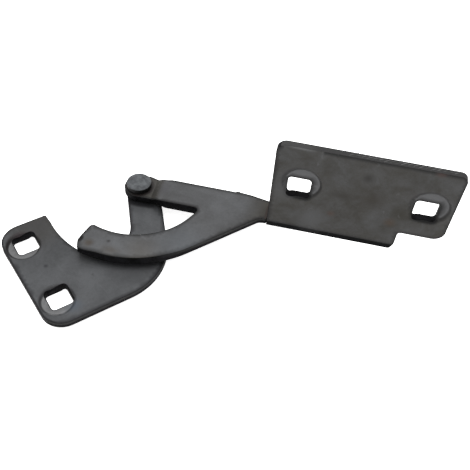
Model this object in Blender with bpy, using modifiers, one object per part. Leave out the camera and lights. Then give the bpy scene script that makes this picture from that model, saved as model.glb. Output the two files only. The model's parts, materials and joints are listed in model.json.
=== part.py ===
"""Hood hinge: a pressed body bracket, a pressed hood arm and the rivet they turn on.

The bracket bolts flat to the body through two square holes in pressed pads. The arm
is one stamping: an ear stepped down onto the bracket, a guide hook whose arcs are
centred on the pivot, and a flange folded up at a right angle that carries the hood.
All pieces are modelled round the pivot axis, which is upright, with height zero at
the seating plane of the bracket's pads. The finished model is then moved so that its
origin lies on the seat of the upper body pad. The X axis runs along the flange.
"""

import math

import bmesh
import bpy
from mathutils import Matrix, Vector

MM = 0.001

# Sheet metal and fits
PLATE = 4.0 * MM
EDGE_ROUND = 0.5 * MM
SEAT_GAP = 0.3 * MM
ARC_TOLERANCE = 0.04 * MM
ROUND_STEPS = 48

# Pads pressed round the bolt holes: sunk in front, proud on the seating side
PAD_DEPTH = 1.5 * MM
PAD_SLOPE = 2.1 * MM
PAD_HOLE_CORNER = 2.2 * MM
BODY_HOLE = 12.6 * MM
BODY_PAD_FLOOR = 8.1 * MM
BODY_PAD_ASIDE = (-1.8 * MM, -2.1 * MM)
BODY_SEAT_ASIDE = 7.75 * MM
HOOD_HOLE = 13.6 * MM
HOOD_PAD_FLOOR = 9.4 * MM
HOOD_PAD_ASIDE = (1.5 * MM, 3.7 * MM)

# Body bracket, on its own axes through the pivot, which are turned by BRACKET_TURN
BRACKET_TURN = math.radians(44.5)
BODY_HOLE_EDGE = 12.8 * MM
BODY_HOLE_PAST_SWEEP = 18.1 * MM
BODY_HOLE_UPPER = -4.4 * MM
BODY_HOLE_PITCH = 44.4 * MM
BRACKET_TOP = 10.2 * MM
BRACKET_FOOT_PAST_SWEEP = 10.1 * MM
BRACKET_SIDE_LEAN = math.radians(1.7)
BRACKET_CORNER = 12.6 * MM
BRACKET_TIP_PAST_SWEEP = 1.6 * MM
BRACKET_TIP_CORNER = 1.1 * MM
BRACKET_TIP_FLARE = 1.5 * MM
BRACKET_SWEEP_RADIUS = 57.0 * MM
BRACKET_SWEEP_START = math.radians(178.5)
STALK_LEAN = math.radians(-68.0) - BRACKET_TURN
STALK_LEFT = 7.8 * MM
STALK_RIGHT = 12.3 * MM
STALK_INNER_FILLET = 19.0 * MM
STALK_OUTER_FILLET = 38.0 * MM
STALK_END = 9.0 * MM
STALK_END_CORNER = 8.0 * MM

# Pivot rivet and its washer
RIVET_HEAD_RADIUS = 7.5 * MM
RIVET_HEAD_HEIGHT = 3.3 * MM
RIVET_SHOULDER_RADIUS = 5.0 * MM
RIVET_TENON_RADIUS = 4.0 * MM
RIVET_TAIL_RADIUS = 6.2 * MM
RIVET_CHAMFER = 0.4 * MM
WASHER_RADIUS = 7.8 * MM
WASHER_THICKNESS = 0.5 * MM

# Hood arm: the ear, the straight bar and the hook
EAR_RADIUS = 9.0 * MM
EAR_FAR = 9.7 * MM
EAR_DROP = 2.4 * MM
STEP_START = 9.6 * MM
STEP_LENGTH = 5.5 * MM
BAR_NEAR = -10.9 * MM
BAR_FAR = 6.9 * MM
BAR_FAR_START = 19.0 * MM
BAR_FAR_CREST = 8.1 * MM
BAR_CREST_AT = 68.0 * MM
SLOT_CORNER = 2.4 * MM
HOOK_INNER_RADIUS = 41.6 * MM
HOOK_OUTER_RADIUS = 60.3 * MM
HOOK_ROOT_INNER = math.radians(-28.0)
HOOK_TIP_INNER = math.radians(-109.0)
HOOK_TIP_OUTER = math.radians(-106.3)
HOOK_NOSE_RADIUS = 55.2 * MM
HOOK_NOSE_ANGLE = math.radians(-111.5)
NECK_FILLET = 5.5 * MM
NECK_NEAR = -9.5 * MM
NECK_LENGTH = 4.4 * MM

# Hood flange, folded up from the arm
FLANGE_LEFT = 81.5 * MM
FLANGE_LENGTH = 99.3 * MM
FLANGE_FACE = -12.5 * MM
FLANGE_HEIGHT = 62.0 * MM
BEND_RADIUS = 0.6 * MM
BEND_STEPS = 7
RELIEF_WIDTH = 0.7 * MM
FLANGE_STEP_LENGTH = 24.8 * MM
FLANGE_STEP_HEIGHT = 13.0 * MM
FLANGE_STEP_FILLET = 2.0 * MM
FLANGE_TOP_CORNER = 5.5 * MM
FLANGE_END_CORNER = 6.5 * MM
WEB_END = -9.0 * MM
HOOD_HOLE_INNER = 15.0 * MM
HOOD_HOLE_PITCH = 69.8 * MM
HOOD_HOLE_HEIGHT = 32.3 * MM

# Levels, counted up from the seating plane of the body pads
BRACKET_BACK = PAD_DEPTH
BRACKET_FRONT = BRACKET_BACK + PLATE
WASHER_BOTTOM = BRACKET_FRONT + SEAT_GAP
EAR_BOTTOM = WASHER_BOTTOM + WASHER_THICKNESS + SEAT_GAP
EAR_TOP = EAR_BOTTOM + PLATE
ARM_BOTTOM = EAR_BOTTOM + EAR_DROP
ARM_TOP = ARM_BOTTOM + PLATE

STEEL_GREY = (0.115, 0.118, 0.122, 1.0)
WARM_STEEL = (0.095, 0.093, 0.090, 1.0)
RIVET_STEEL = (0.150, 0.160, 0.170, 1.0)
WASHER_STEEL = (0.200, 0.195, 0.185, 1.0)


def clear_scene():
    """Remove every object, so that the model starts from nothing."""
    for item in list(bpy.data.objects):
        bpy.data.objects.remove(item, do_unlink=True)


def make_collection(name):
    """Return a new collection linked to the scene."""
    collection = bpy.data.collections.new(name)
    bpy.context.scene.collection.children.link(collection)
    return collection


def make_material(name, colour, roughness):
    """Return a bare steel finish."""
    material = bpy.data.materials.new(name)
    material.use_nodes = True
    shader = material.node_tree.nodes["Principled BSDF"]
    shader.inputs["Base Color"].default_value = colour
    shader.inputs["Metallic"].default_value = 0.85
    shader.inputs["Roughness"].default_value = roughness
    return material


def polar(radius, angle):
    """Return the point at this radius and angle from the pivot."""
    return Vector((radius * math.cos(angle), radius * math.sin(angle)))


def tangent_point(radius, angle, distance):
    """Return a point on the circle's tangent, this far on in the sense of growing angle."""
    along = Vector((-math.sin(angle), math.cos(angle)))
    return polar(radius, angle) + along * distance


def arc_corners(radius, start, end, count):
    """Return corners that, once rounded, follow an arc centred on the pivot."""
    part = (end - start) / count
    reach = radius / math.cos(part / 2.0)
    return [(*polar(reach, start + part * (index + 0.5)), radius) for index in range(count)]


def crossing(point_a, way_a, point_b, way_b):
    """Return where two lines in the plane cross."""
    offset = point_b - point_a
    cross = way_a.x * way_b.y - way_a.y * way_b.x
    return point_a + way_a * ((offset.x * way_b.y - offset.y * way_b.x) / cross)


def rounded_outline(corners):
    """Turn corners (x, y, radius) into the points of a closed outline with true arcs."""
    points = []
    count = len(corners)
    for index, (x, y, radius) in enumerate(corners):
        corner = Vector((x, y))
        before = (Vector(corners[index - 1][:2]) - corner).normalized()
        after = (Vector(corners[(index + 1) % count][:2]) - corner).normalized()
        half = before.angle(after) / 2.0
        if radius <= 0.0:
            points.append(corner)
            continue
        centre = corner + (before + after).normalized() * (radius / math.sin(half))
        first = corner + before * (radius / math.tan(half)) - centre
        last = corner + after * (radius / math.tan(half)) - centre
        turn = first.angle_signed(last)
        step = 2.0 * math.acos(max(0.8, 1.0 - ARC_TOLERANCE / radius))
        steps = max(2, math.ceil(abs(turn) / step))
        for number in range(steps + 1):
            angle = -turn * number / steps
            points.append(centre + Matrix.Rotation(angle, 2) @ first)
    return [point for index, point in enumerate(points)
            if (point - points[index - 1]).length > 0.01 * MM]


def plate_object(name, points, thickness, collection):
    """Return a flat plate with this outline, centred on height zero."""
    curve = bpy.data.curves.new(name, "CURVE")
    curve.dimensions = "2D"
    curve.fill_mode = "BOTH"
    curve.extrude = thickness / 2.0
    spline = curve.splines.new("POLY")
    spline.points.add(len(points) - 1)
    for spot, point in zip(spline.points, points):
        spot.co = (point.x, point.y, 0.0, 1.0)
    spline.use_cyclic_u = True
    outline = bpy.data.objects.new(name + "_outline", curve)
    collection.objects.link(outline)
    bpy.context.view_layer.update()
    evaluated = outline.evaluated_get(bpy.context.evaluated_depsgraph_get())
    mesh = bpy.data.meshes.new_from_object(evaluated)
    mesh.name = name
    bpy.data.objects.remove(outline, do_unlink=True)
    form = bmesh.new()
    form.from_mesh(mesh)
    bmesh.ops.remove_doubles(form, verts=form.verts, dist=0.001 * MM)
    for level in (thickness / 2.0, -thickness / 2.0):
        flat = [face for face in form.faces
                if all(abs(vert.co.z - level) < 0.001 * MM for vert in face.verts)]
        bmesh.ops.dissolve_faces(form, faces=flat)
    bmesh.ops.recalc_face_normals(form, faces=form.faces)
    form.to_mesh(mesh)
    form.free()
    plate = bpy.data.objects.new(name, mesh)
    collection.objects.link(plate)
    return plate


def round_rim(mesh, size):
    """Round the edges that blanking leaves between a plate's faces and its rim."""
    form = bmesh.new()
    form.from_mesh(mesh)
    rim = [edge for edge in form.edges if edge.calc_face_angle(0.0) > math.radians(60.0)
           and abs(edge.verts[0].co.z - edge.verts[1].co.z) < 0.01 * MM]
    bmesh.ops.bevel(form, geom=rim, offset=size, segments=2, profile=0.5, affect="EDGES")
    form.to_mesh(mesh)
    form.free()


def slice_faces(form, chosen, point, normal):
    """Cut the chosen faces along a plane, so that they can follow a bend there."""
    faces = [face for face in form.faces if chosen(face.calc_center_median())]
    edges = {edge for face in faces for edge in face.edges}
    verts = {vert for face in faces for vert in face.verts}
    bmesh.ops.bisect_plane(form, geom=[*verts, *edges, *faces], dist=0.001 * MM,
                           plane_co=point, plane_no=normal)


def turned_object(name, profile, collection):
    """Return a turned solid from (radius, height) pairs that run from top to bottom."""
    mesh = bpy.data.meshes.new(name)
    verts = [(radius, 0.0, height) for radius, height in profile]
    edges = [(index, index + 1) for index in range(len(verts) - 1)]
    mesh.from_pydata(verts, edges, [])
    item = bpy.data.objects.new(name, mesh)
    collection.objects.link(item)
    screw = item.modifiers.new("turn", "SCREW")
    screw.steps = ROUND_STEPS
    screw.render_steps = ROUND_STEPS
    screw.use_merge_vertices = True
    screw.merge_threshold = 0.001 * MM
    screw.use_smooth_shade = False
    return item


def cut(target, tool, operation, cutters):
    """Join a tool to the target, or cut the target with it."""
    for collection in list(tool.users_collection):
        collection.objects.unlink(tool)
    cutters.objects.link(tool)
    tool.hide_render = True
    tool.display_type = "WIRE"
    tool.parent = target
    boolean = target.modifiers.new(tool.name, "BOOLEAN")
    boolean.operation = operation
    boolean.object = tool
    boolean.solver = "EXACT"


def square_hole(name, size, collection):
    """Return a cutter for a bolt hole with rounded corners."""
    half = size / 2.0
    corners = [(-half, -half, PAD_HOLE_CORNER), (half, -half, PAD_HOLE_CORNER),
               (half, half, PAD_HOLE_CORNER), (-half, half, PAD_HOLE_CORNER)]
    return plate_object(name, rounded_outline(corners), 6.0 * PLATE, collection)


def press_pad(target, name, frame, hole, floor, aside, cutters):
    """Press a pad and punch its bolt hole; frame has the hole's centre on the plate's front."""
    shoulder = floor + PAD_SLOPE / 2.0
    rim = floor + PAD_SLOPE
    back = -PLATE
    steep = PAD_DEPTH * 2.0 / 3.0
    shallow = PAD_DEPTH - steep
    lip = (rim - shoulder) / 5.0
    boss = turned_object(name + "_boss", [
        (0.0, back + steep), (rim + lip, back + steep), (rim + lip, back + steep / 5.0),
        (shoulder, back - steep), (floor, back - PAD_DEPTH), (0.0, back - PAD_DEPTH)], cutters)
    sink = turned_object(name + "_sink", [
        (0.0, shallow), (2.0 * rim - shoulder, shallow), (shoulder, -shallow),
        (floor, -PAD_DEPTH), (0.0, -PAD_DEPTH)], cutters)
    punch = square_hole(name + "_hole", hole, cutters)
    pressed = frame @ Matrix.Translation((*aside, 0.0))
    for tool, operation, place in ((boss, "UNION", pressed), (sink, "DIFFERENCE", pressed),
                                   (punch, "DIFFERENCE", frame)):
        tool.matrix_local = place
        cut(target, tool, operation, cutters)


def pivot_hole(target, radius, cutters):
    """Punch the round hole that the rivet passes through."""
    drill = turned_object(target.name + "_pivot_hole", [
        (0.0, ARM_TOP + PLATE), (radius, ARM_TOP + PLATE), (radius, -PLATE), (0.0, -PLATE)], cutters)
    cut(target, drill, "DIFFERENCE", cutters)


def bracket_outline():
    """Return the bracket's outline on its own axes, with the pivot at their crossing."""
    stalk_way = Vector((math.cos(STALK_LEAN), math.sin(STALK_LEAN)))
    stalk_right = Vector((-stalk_way.y, stalk_way.x))
    left_line = -stalk_right * STALK_LEFT
    right_line = stalk_right * STALK_RIGHT
    aside = STALK_LEFT + STALK_INNER_FILLET
    reach = BRACKET_SWEEP_RADIUS - STALK_INNER_FILLET
    fillet_centre = stalk_way * math.sqrt(reach ** 2 - aside ** 2) - stalk_right * aside
    sweep_end = math.atan2(fillet_centre.y, fillet_centre.x) + 2.0 * math.pi
    sweep_way = Vector((-math.sin(sweep_end), math.cos(sweep_end)))
    inner_corner = crossing(polar(BRACKET_SWEEP_RADIUS, sweep_end), sweep_way, left_line, stalk_way)
    flare = tangent_point(BRACKET_SWEEP_RADIUS, BRACKET_SWEEP_START, -BRACKET_TIP_FLARE)
    foot = -(BRACKET_SWEEP_RADIUS + BRACKET_FOOT_PAST_SWEEP)
    tip_across = -(BRACKET_SWEEP_RADIUS + BRACKET_TIP_PAST_SWEEP)
    outer_corner = crossing(right_line, stalk_way, Vector((0.0, foot)), Vector((1.0, 0.0)))
    upper, lower = body_hole_centres()
    side_way = (upper - lower).normalized()
    side = upper + Vector((-side_way.y, side_way.x)) * BODY_HOLE_EDGE
    side_top = crossing(side, side_way, Vector((0.0, BRACKET_TOP)), Vector((1.0, 0.0)))
    side_bottom = crossing(side, side_way, Vector((0.0, foot)), Vector((1.0, 0.0)))
    end_left = left_line - stalk_way * STALK_END
    end_right = right_line - stalk_way * STALK_END
    return rounded_outline([
        (tip_across, BRACKET_TOP, BRACKET_TIP_CORNER),
        (flare.x, flare.y, 10.0 * MM),
        *arc_corners(BRACKET_SWEEP_RADIUS, BRACKET_SWEEP_START, sweep_end, 1),
        (inner_corner.x, inner_corner.y, STALK_INNER_FILLET),
        (end_left.x, end_left.y, STALK_END_CORNER),
        (end_right.x, end_right.y, STALK_END_CORNER),
        (outer_corner.x, outer_corner.y, STALK_OUTER_FILLET),
        (side_bottom.x, side_bottom.y, BRACKET_CORNER),
        (side_top.x, side_top.y, BRACKET_CORNER)])


def body_hole_centres():
    """Return the centres of the two bolt holes on the bracket's own axes, upper one first."""
    upper = Vector((-(BRACKET_SWEEP_RADIUS + BODY_HOLE_PAST_SWEEP), BODY_HOLE_UPPER))
    down = Vector((math.sin(BRACKET_SIDE_LEAN), -math.cos(BRACKET_SIDE_LEAN)))
    return [upper, upper + down * BODY_HOLE_PITCH]


def make_bracket(collection, cutters):
    """Model the plate that bolts to the body."""
    bracket = plate_object("body_bracket", bracket_outline(), PLATE, collection)
    round_rim(bracket.data, EDGE_ROUND)
    bracket.data.transform(Matrix.Translation((0.0, 0.0, BRACKET_BACK + PLATE / 2.0)))
    for name, centre in zip(("upper_pad", "lower_pad"), body_hole_centres()):
        frame = Matrix.Translation((centre.x, centre.y, BRACKET_FRONT))
        press_pad(bracket, name, frame, BODY_HOLE, BODY_PAD_FLOOR, BODY_PAD_ASIDE, cutters)
    pivot_hole(bracket, RIVET_TENON_RADIUS + SEAT_GAP, cutters)
    bracket.rotation_euler.z = BRACKET_TURN
    return bracket


def blank_depth(height):
    """Return how far from the bend line a height above the arm's top lies in the flat blank."""
    middle = BEND_RADIUS + PLATE / 2.0
    return height - BEND_RADIUS + middle * math.pi / 2.0


def arm_outline():
    """Return the outline of the arm's flat blank, hook, bar and unfolded flange in one."""
    bend_line = FLANGE_FACE + PLATE + BEND_RADIUS
    blank_top = bend_line - blank_depth(FLANGE_HEIGHT)
    blank_step = bend_line - blank_depth(FLANGE_STEP_HEIGHT)
    right = FLANGE_LEFT + FLANGE_LENGTH
    step_x = right - FLANGE_STEP_LENGTH
    relief_x = FLANGE_LEFT - RELIEF_WIDTH
    slot_way = Vector((-math.sin(HOOK_ROOT_INNER), math.cos(HOOK_ROOT_INNER)))
    slot = crossing(polar(HOOK_INNER_RADIUS, HOOK_ROOT_INNER), slot_way,
                    Vector((0.0, BAR_NEAR)), Vector((1.0, 0.0)))
    neck = Vector((FLANGE_LEFT - NECK_LENGTH, NECK_NEAR))
    root_outer = math.atan2(neck.y, neck.x) - math.acos(HOOK_OUTER_RADIUS / neck.length)
    tip_inner = tangent_point(HOOK_INNER_RADIUS, HOOK_TIP_INNER, -2.9 * MM)
    tip_outer = tangent_point(HOOK_OUTER_RADIUS, HOOK_TIP_OUTER, -1.6 * MM)
    nose = polar(HOOK_NOSE_RADIUS, HOOK_NOSE_ANGLE)
    step_end = STEP_START + STEP_LENGTH
    return rounded_outline([
        (-EAR_RADIUS, EAR_FAR, EAR_RADIUS),
        (-EAR_RADIUS, -EAR_RADIUS, EAR_RADIUS),
        (STEP_START, -EAR_RADIUS, 5.0 * MM),
        (step_end, BAR_NEAR, 5.0 * MM),
        (slot.x, slot.y, SLOT_CORNER),
        *arc_corners(HOOK_INNER_RADIUS, HOOK_ROOT_INNER, HOOK_TIP_INNER, 2),
        (tip_inner.x, tip_inner.y, 2.5 * MM),
        (nose.x, nose.y, 3.0 * MM),
        (tip_outer.x, tip_outer.y, 1.2 * MM),
        *arc_corners(HOOK_OUTER_RADIUS, HOOK_TIP_OUTER, root_outer, 1),
        (neck.x, neck.y, NECK_FILLET),
        (relief_x, NECK_NEAR, 0.7 * MM),
        (relief_x, bend_line, RELIEF_WIDTH / 2.0),
        (FLANGE_LEFT, bend_line, RELIEF_WIDTH / 2.0),
        (FLANGE_LEFT, blank_top, FLANGE_TOP_CORNER),
        (right, blank_top, FLANGE_TOP_CORNER),
        (right, blank_step, FLANGE_END_CORNER),
        (step_x, blank_step, FLANGE_STEP_FILLET),
        (step_x, WEB_END, FLANGE_END_CORNER),
        (BAR_CREST_AT, BAR_FAR_CREST, 30.0 * MM),
        (BAR_FAR_START, BAR_FAR_CREST, 10.0 * MM),
        (step_end, BAR_FAR, 6.0 * MM),
        (STEP_START / 2.0, EAR_FAR, 5.0 * MM)])


def fold_flange(form):
    """Fold the flange up along its bend line, as the press does."""
    bend_line = FLANGE_FACE + PLATE + BEND_RADIUS
    middle = BEND_RADIUS + PLATE / 2.0
    divide = FLANGE_LEFT - RELIEF_WIDTH / 2.0
    slice_faces(form, lambda centre: True, (divide, 0.0, 0.0), (1.0, 0.0, 0.0))
    for number in range(BEND_STEPS + 1):
        line = bend_line - middle * (math.pi / 2.0) * number / BEND_STEPS
        slice_faces(form, lambda centre: centre.x > divide, (0.0, line, 0.0), (0.0, 1.0, 0.0))
    for vert in form.verts:
        past = bend_line - vert.co.y
        if vert.co.x < divide or past <= 0.0:
            continue
        angle = min(past / middle, math.pi / 2.0)
        straight = max(0.0, past - middle * math.pi / 2.0)
        radius = middle - vert.co.z
        vert.co.y = bend_line - radius * math.sin(angle)
        vert.co.z = middle - radius * math.cos(angle) + straight


def step_ear(form):
    """Step the ear down onto the bracket, keeping the plate's thickness on the slope."""
    slices = 8
    step_end = STEP_START + STEP_LENGTH
    beyond = step_end + 4.0 * MM
    on_ear = lambda centre: centre.x < beyond and centre.y > -HOOK_INNER_RADIUS / 2.0
    slice_faces(form, lambda centre: centre.x < FLANGE_LEFT, (beyond, 0.0, 0.0), (1.0, 0.0, 0.0))
    for number in range(slices + 1):
        line = STEP_START + STEP_LENGTH * number / slices
        slice_faces(form, on_ear, (line, 0.0, 0.0), (1.0, 0.0, 0.0))
    for vert in form.verts:
        if vert.co.x > step_end or vert.co.y < -HOOK_INNER_RADIUS / 2.0:
            continue
        share = min(1.0, (step_end - vert.co.x) / STEP_LENGTH)
        drop = EAR_DROP * (1.0 - math.cos(math.pi * share)) / 2.0
        slope = math.atan(EAR_DROP * math.pi * math.sin(math.pi * share) / (2.0 * STEP_LENGTH))
        from_middle = vert.co.z
        vert.co.x -= from_middle * math.sin(slope)
        vert.co.z = from_middle * math.cos(slope) - drop


def make_arm(collection, cutters):
    """Model the arm as it is made: blanked flat, then stepped, folded, pressed and punched."""
    arm = plate_object("hood_arm", arm_outline(), PLATE, collection)
    round_rim(arm.data, EDGE_ROUND)
    form = bmesh.new()
    form.from_mesh(arm.data)
    fold_flange(form)
    step_ear(form)
    form.to_mesh(arm.data)
    form.free()
    arm.data.transform(Matrix.Translation((0.0, 0.0, ARM_BOTTOM + PLATE / 2.0)))
    upright = Matrix.Rotation(math.radians(90.0), 4, "X")
    height = ARM_TOP + HOOD_HOLE_HEIGHT
    inner = FLANGE_LEFT + HOOD_HOLE_INNER
    for name, x in (("inner_pad", inner), ("outer_pad", inner + HOOD_HOLE_PITCH)):
        frame = Matrix.Translation((x, FLANGE_FACE, height)) @ upright
        press_pad(arm, name, frame, HOOD_HOLE, HOOD_PAD_FLOOR, HOOD_PAD_ASIDE, cutters)
    pivot_hole(arm, RIVET_SHOULDER_RADIUS + SEAT_GAP, cutters)
    return arm


def make_rivet(collection):
    """Model the headed pivot rivet: shoulder in the arm, tenon and upset tail in the bracket."""
    head_bottom = EAR_TOP + SEAT_GAP
    head_top = head_bottom + RIVET_HEAD_HEIGHT
    shoulder_end = BRACKET_FRONT + SEAT_GAP
    tail_top = BRACKET_BACK - SEAT_GAP
    tail_bottom = 0.1 * MM
    return turned_object("pivot_rivet", [
        (0.0, head_top),
        (RIVET_HEAD_RADIUS - RIVET_CHAMFER, head_top),
        (RIVET_HEAD_RADIUS, head_top - RIVET_CHAMFER),
        (RIVET_HEAD_RADIUS, head_bottom),
        (RIVET_SHOULDER_RADIUS, head_bottom),
        (RIVET_SHOULDER_RADIUS, shoulder_end),
        (RIVET_TENON_RADIUS, shoulder_end),
        (RIVET_TENON_RADIUS, tail_top),
        (RIVET_TAIL_RADIUS, tail_top),
        (RIVET_TAIL_RADIUS - RIVET_CHAMFER, tail_bottom),
        (0.0, tail_bottom)], collection)


def make_washer(collection):
    """Model the thin washer between the ear and the bracket."""
    hole = RIVET_SHOULDER_RADIUS + SEAT_GAP
    top = WASHER_BOTTOM + WASHER_THICKNESS
    return turned_object("spacer_washer", [
        (hole, top), (WASHER_RADIUS, top), (WASHER_RADIUS, WASHER_BOTTOM),
        (hole, WASHER_BOTTOM), (hole, top)], collection)


def seat_point():
    """Return the point of the upper body pad's seat that the model's origin is put on."""
    point = body_hole_centres()[0] - Vector((0.0, BODY_SEAT_ASIDE))
    point.rotate(Matrix.Rotation(BRACKET_TURN, 2))
    return point


def smooth_round_faces(item):
    """Shade the rounded faces smooth and keep the true edges sharp."""
    item.data.shade_smooth()
    item.data.set_sharp_from_angle(angle=math.radians(30.0))


def main():
    """Build the hinge."""
    clear_scene()
    hinge = make_collection("hood_hinge")
    cutters = make_collection("cutters")
    pivot = bpy.data.objects.new("pivot_axis", None)
    hinge.objects.link(pivot)
    seat = seat_point()
    pivot.location = (-seat.x, -seat.y, 0.0)
    finished = (
        (make_bracket(hinge, cutters), make_material("bracket_steel", STEEL_GREY, 0.45)),
        (make_arm(hinge, cutters), make_material("arm_steel", WARM_STEEL, 0.5)),
        (make_rivet(hinge), make_material("rivet_steel", RIVET_STEEL, 0.4)),
        (make_washer(hinge), make_material("washer_steel", WASHER_STEEL, 0.4)))
    for item, material in finished:
        item.parent = pivot
        item.data.materials.append(material)
        smooth_round_faces(item)


main()
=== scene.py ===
"""Looks of a hood hinge: two pressed steel plates, a headed pivot rivet and a thin washer.

Each piece is rebuilt here as finely as the press leaves it, with rolled and sheared
edges, pressed pads, a folded flange and bare mill steel. Every piece stands for one
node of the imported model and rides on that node's body. Sizes are in millimetres
inside the classes, counted from the pivot axis, with height zero on the seating plane.
"""

import json
import logging
import math
from dataclasses import dataclass, field, replace
from enum import Enum
from typing import Any, Callable, Iterable, NamedTuple

import bmesh
import bpy
import numpy as np
from mathutils import Matrix, Vector, geometry, noise

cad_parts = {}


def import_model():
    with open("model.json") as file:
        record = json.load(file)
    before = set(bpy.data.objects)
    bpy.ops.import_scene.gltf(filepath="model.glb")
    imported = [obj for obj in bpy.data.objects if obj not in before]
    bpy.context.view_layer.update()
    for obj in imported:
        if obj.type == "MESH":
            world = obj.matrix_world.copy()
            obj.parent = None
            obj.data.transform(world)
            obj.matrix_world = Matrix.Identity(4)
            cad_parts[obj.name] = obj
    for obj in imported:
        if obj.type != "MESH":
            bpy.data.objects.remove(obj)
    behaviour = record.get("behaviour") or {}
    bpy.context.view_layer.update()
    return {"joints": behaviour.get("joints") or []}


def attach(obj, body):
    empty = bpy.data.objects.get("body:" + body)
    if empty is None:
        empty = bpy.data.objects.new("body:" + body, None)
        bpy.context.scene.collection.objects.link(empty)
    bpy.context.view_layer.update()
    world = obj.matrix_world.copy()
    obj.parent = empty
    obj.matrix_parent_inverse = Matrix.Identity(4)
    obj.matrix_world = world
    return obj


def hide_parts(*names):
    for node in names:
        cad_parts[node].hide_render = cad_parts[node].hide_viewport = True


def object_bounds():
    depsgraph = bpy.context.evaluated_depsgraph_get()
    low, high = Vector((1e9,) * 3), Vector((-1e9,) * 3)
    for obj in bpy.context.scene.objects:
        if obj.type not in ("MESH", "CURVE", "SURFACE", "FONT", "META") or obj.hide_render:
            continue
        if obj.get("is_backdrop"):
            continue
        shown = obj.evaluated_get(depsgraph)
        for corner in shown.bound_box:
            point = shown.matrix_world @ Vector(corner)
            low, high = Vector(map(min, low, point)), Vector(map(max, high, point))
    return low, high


MM = 0.001
LOG = logging.getLogger("hood_hinge")

Colour = tuple[float, float, float]
Point3 = tuple[float, float, float]
Corner = tuple[float, float, float]

# The share of dark scale on each row of a cut edge, from the sheet's face inwards
EDGE_SHARES = (0.75, 1.0, 1.0, 1.0)
# The masks that a plate's mesh carries as attributes
MASKS = ("pad", "slope", "crease_rust_and_shade", "fold", "bend", "edge", "worn")
# The tint of a mask that a piece doesn't have, which never shows
UNSEEN: Colour = (0.1, 0.1, 0.1)
# The numbers of a colour Mix node's sockets
MIX_SHARE, MIX_UNDER, MIX_OVER, MIX_RESULT = 0, 6, 7, 2


class Body(Enum):
    """The two halves that turn on each other."""

    BODY_SIDE = "body_side"
    HOOD_SIDE = "hood_side"


class Push(Enum):
    """The way a pad is pressed through the sheet."""

    DOWN = -1.0
    UP = 1.0


class Slot(Enum):
    """Which finish a face of a plate takes."""

    SHEET = 0
    CUT = 1
    # Faces deep in the flange's bend, which take the steel without its sheen: painted shade.
    BEND = 2


class Socket(NamedTuple):
    """One output of a node, by name or number."""

    node: Any
    output: str | int


# Shader groups


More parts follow.
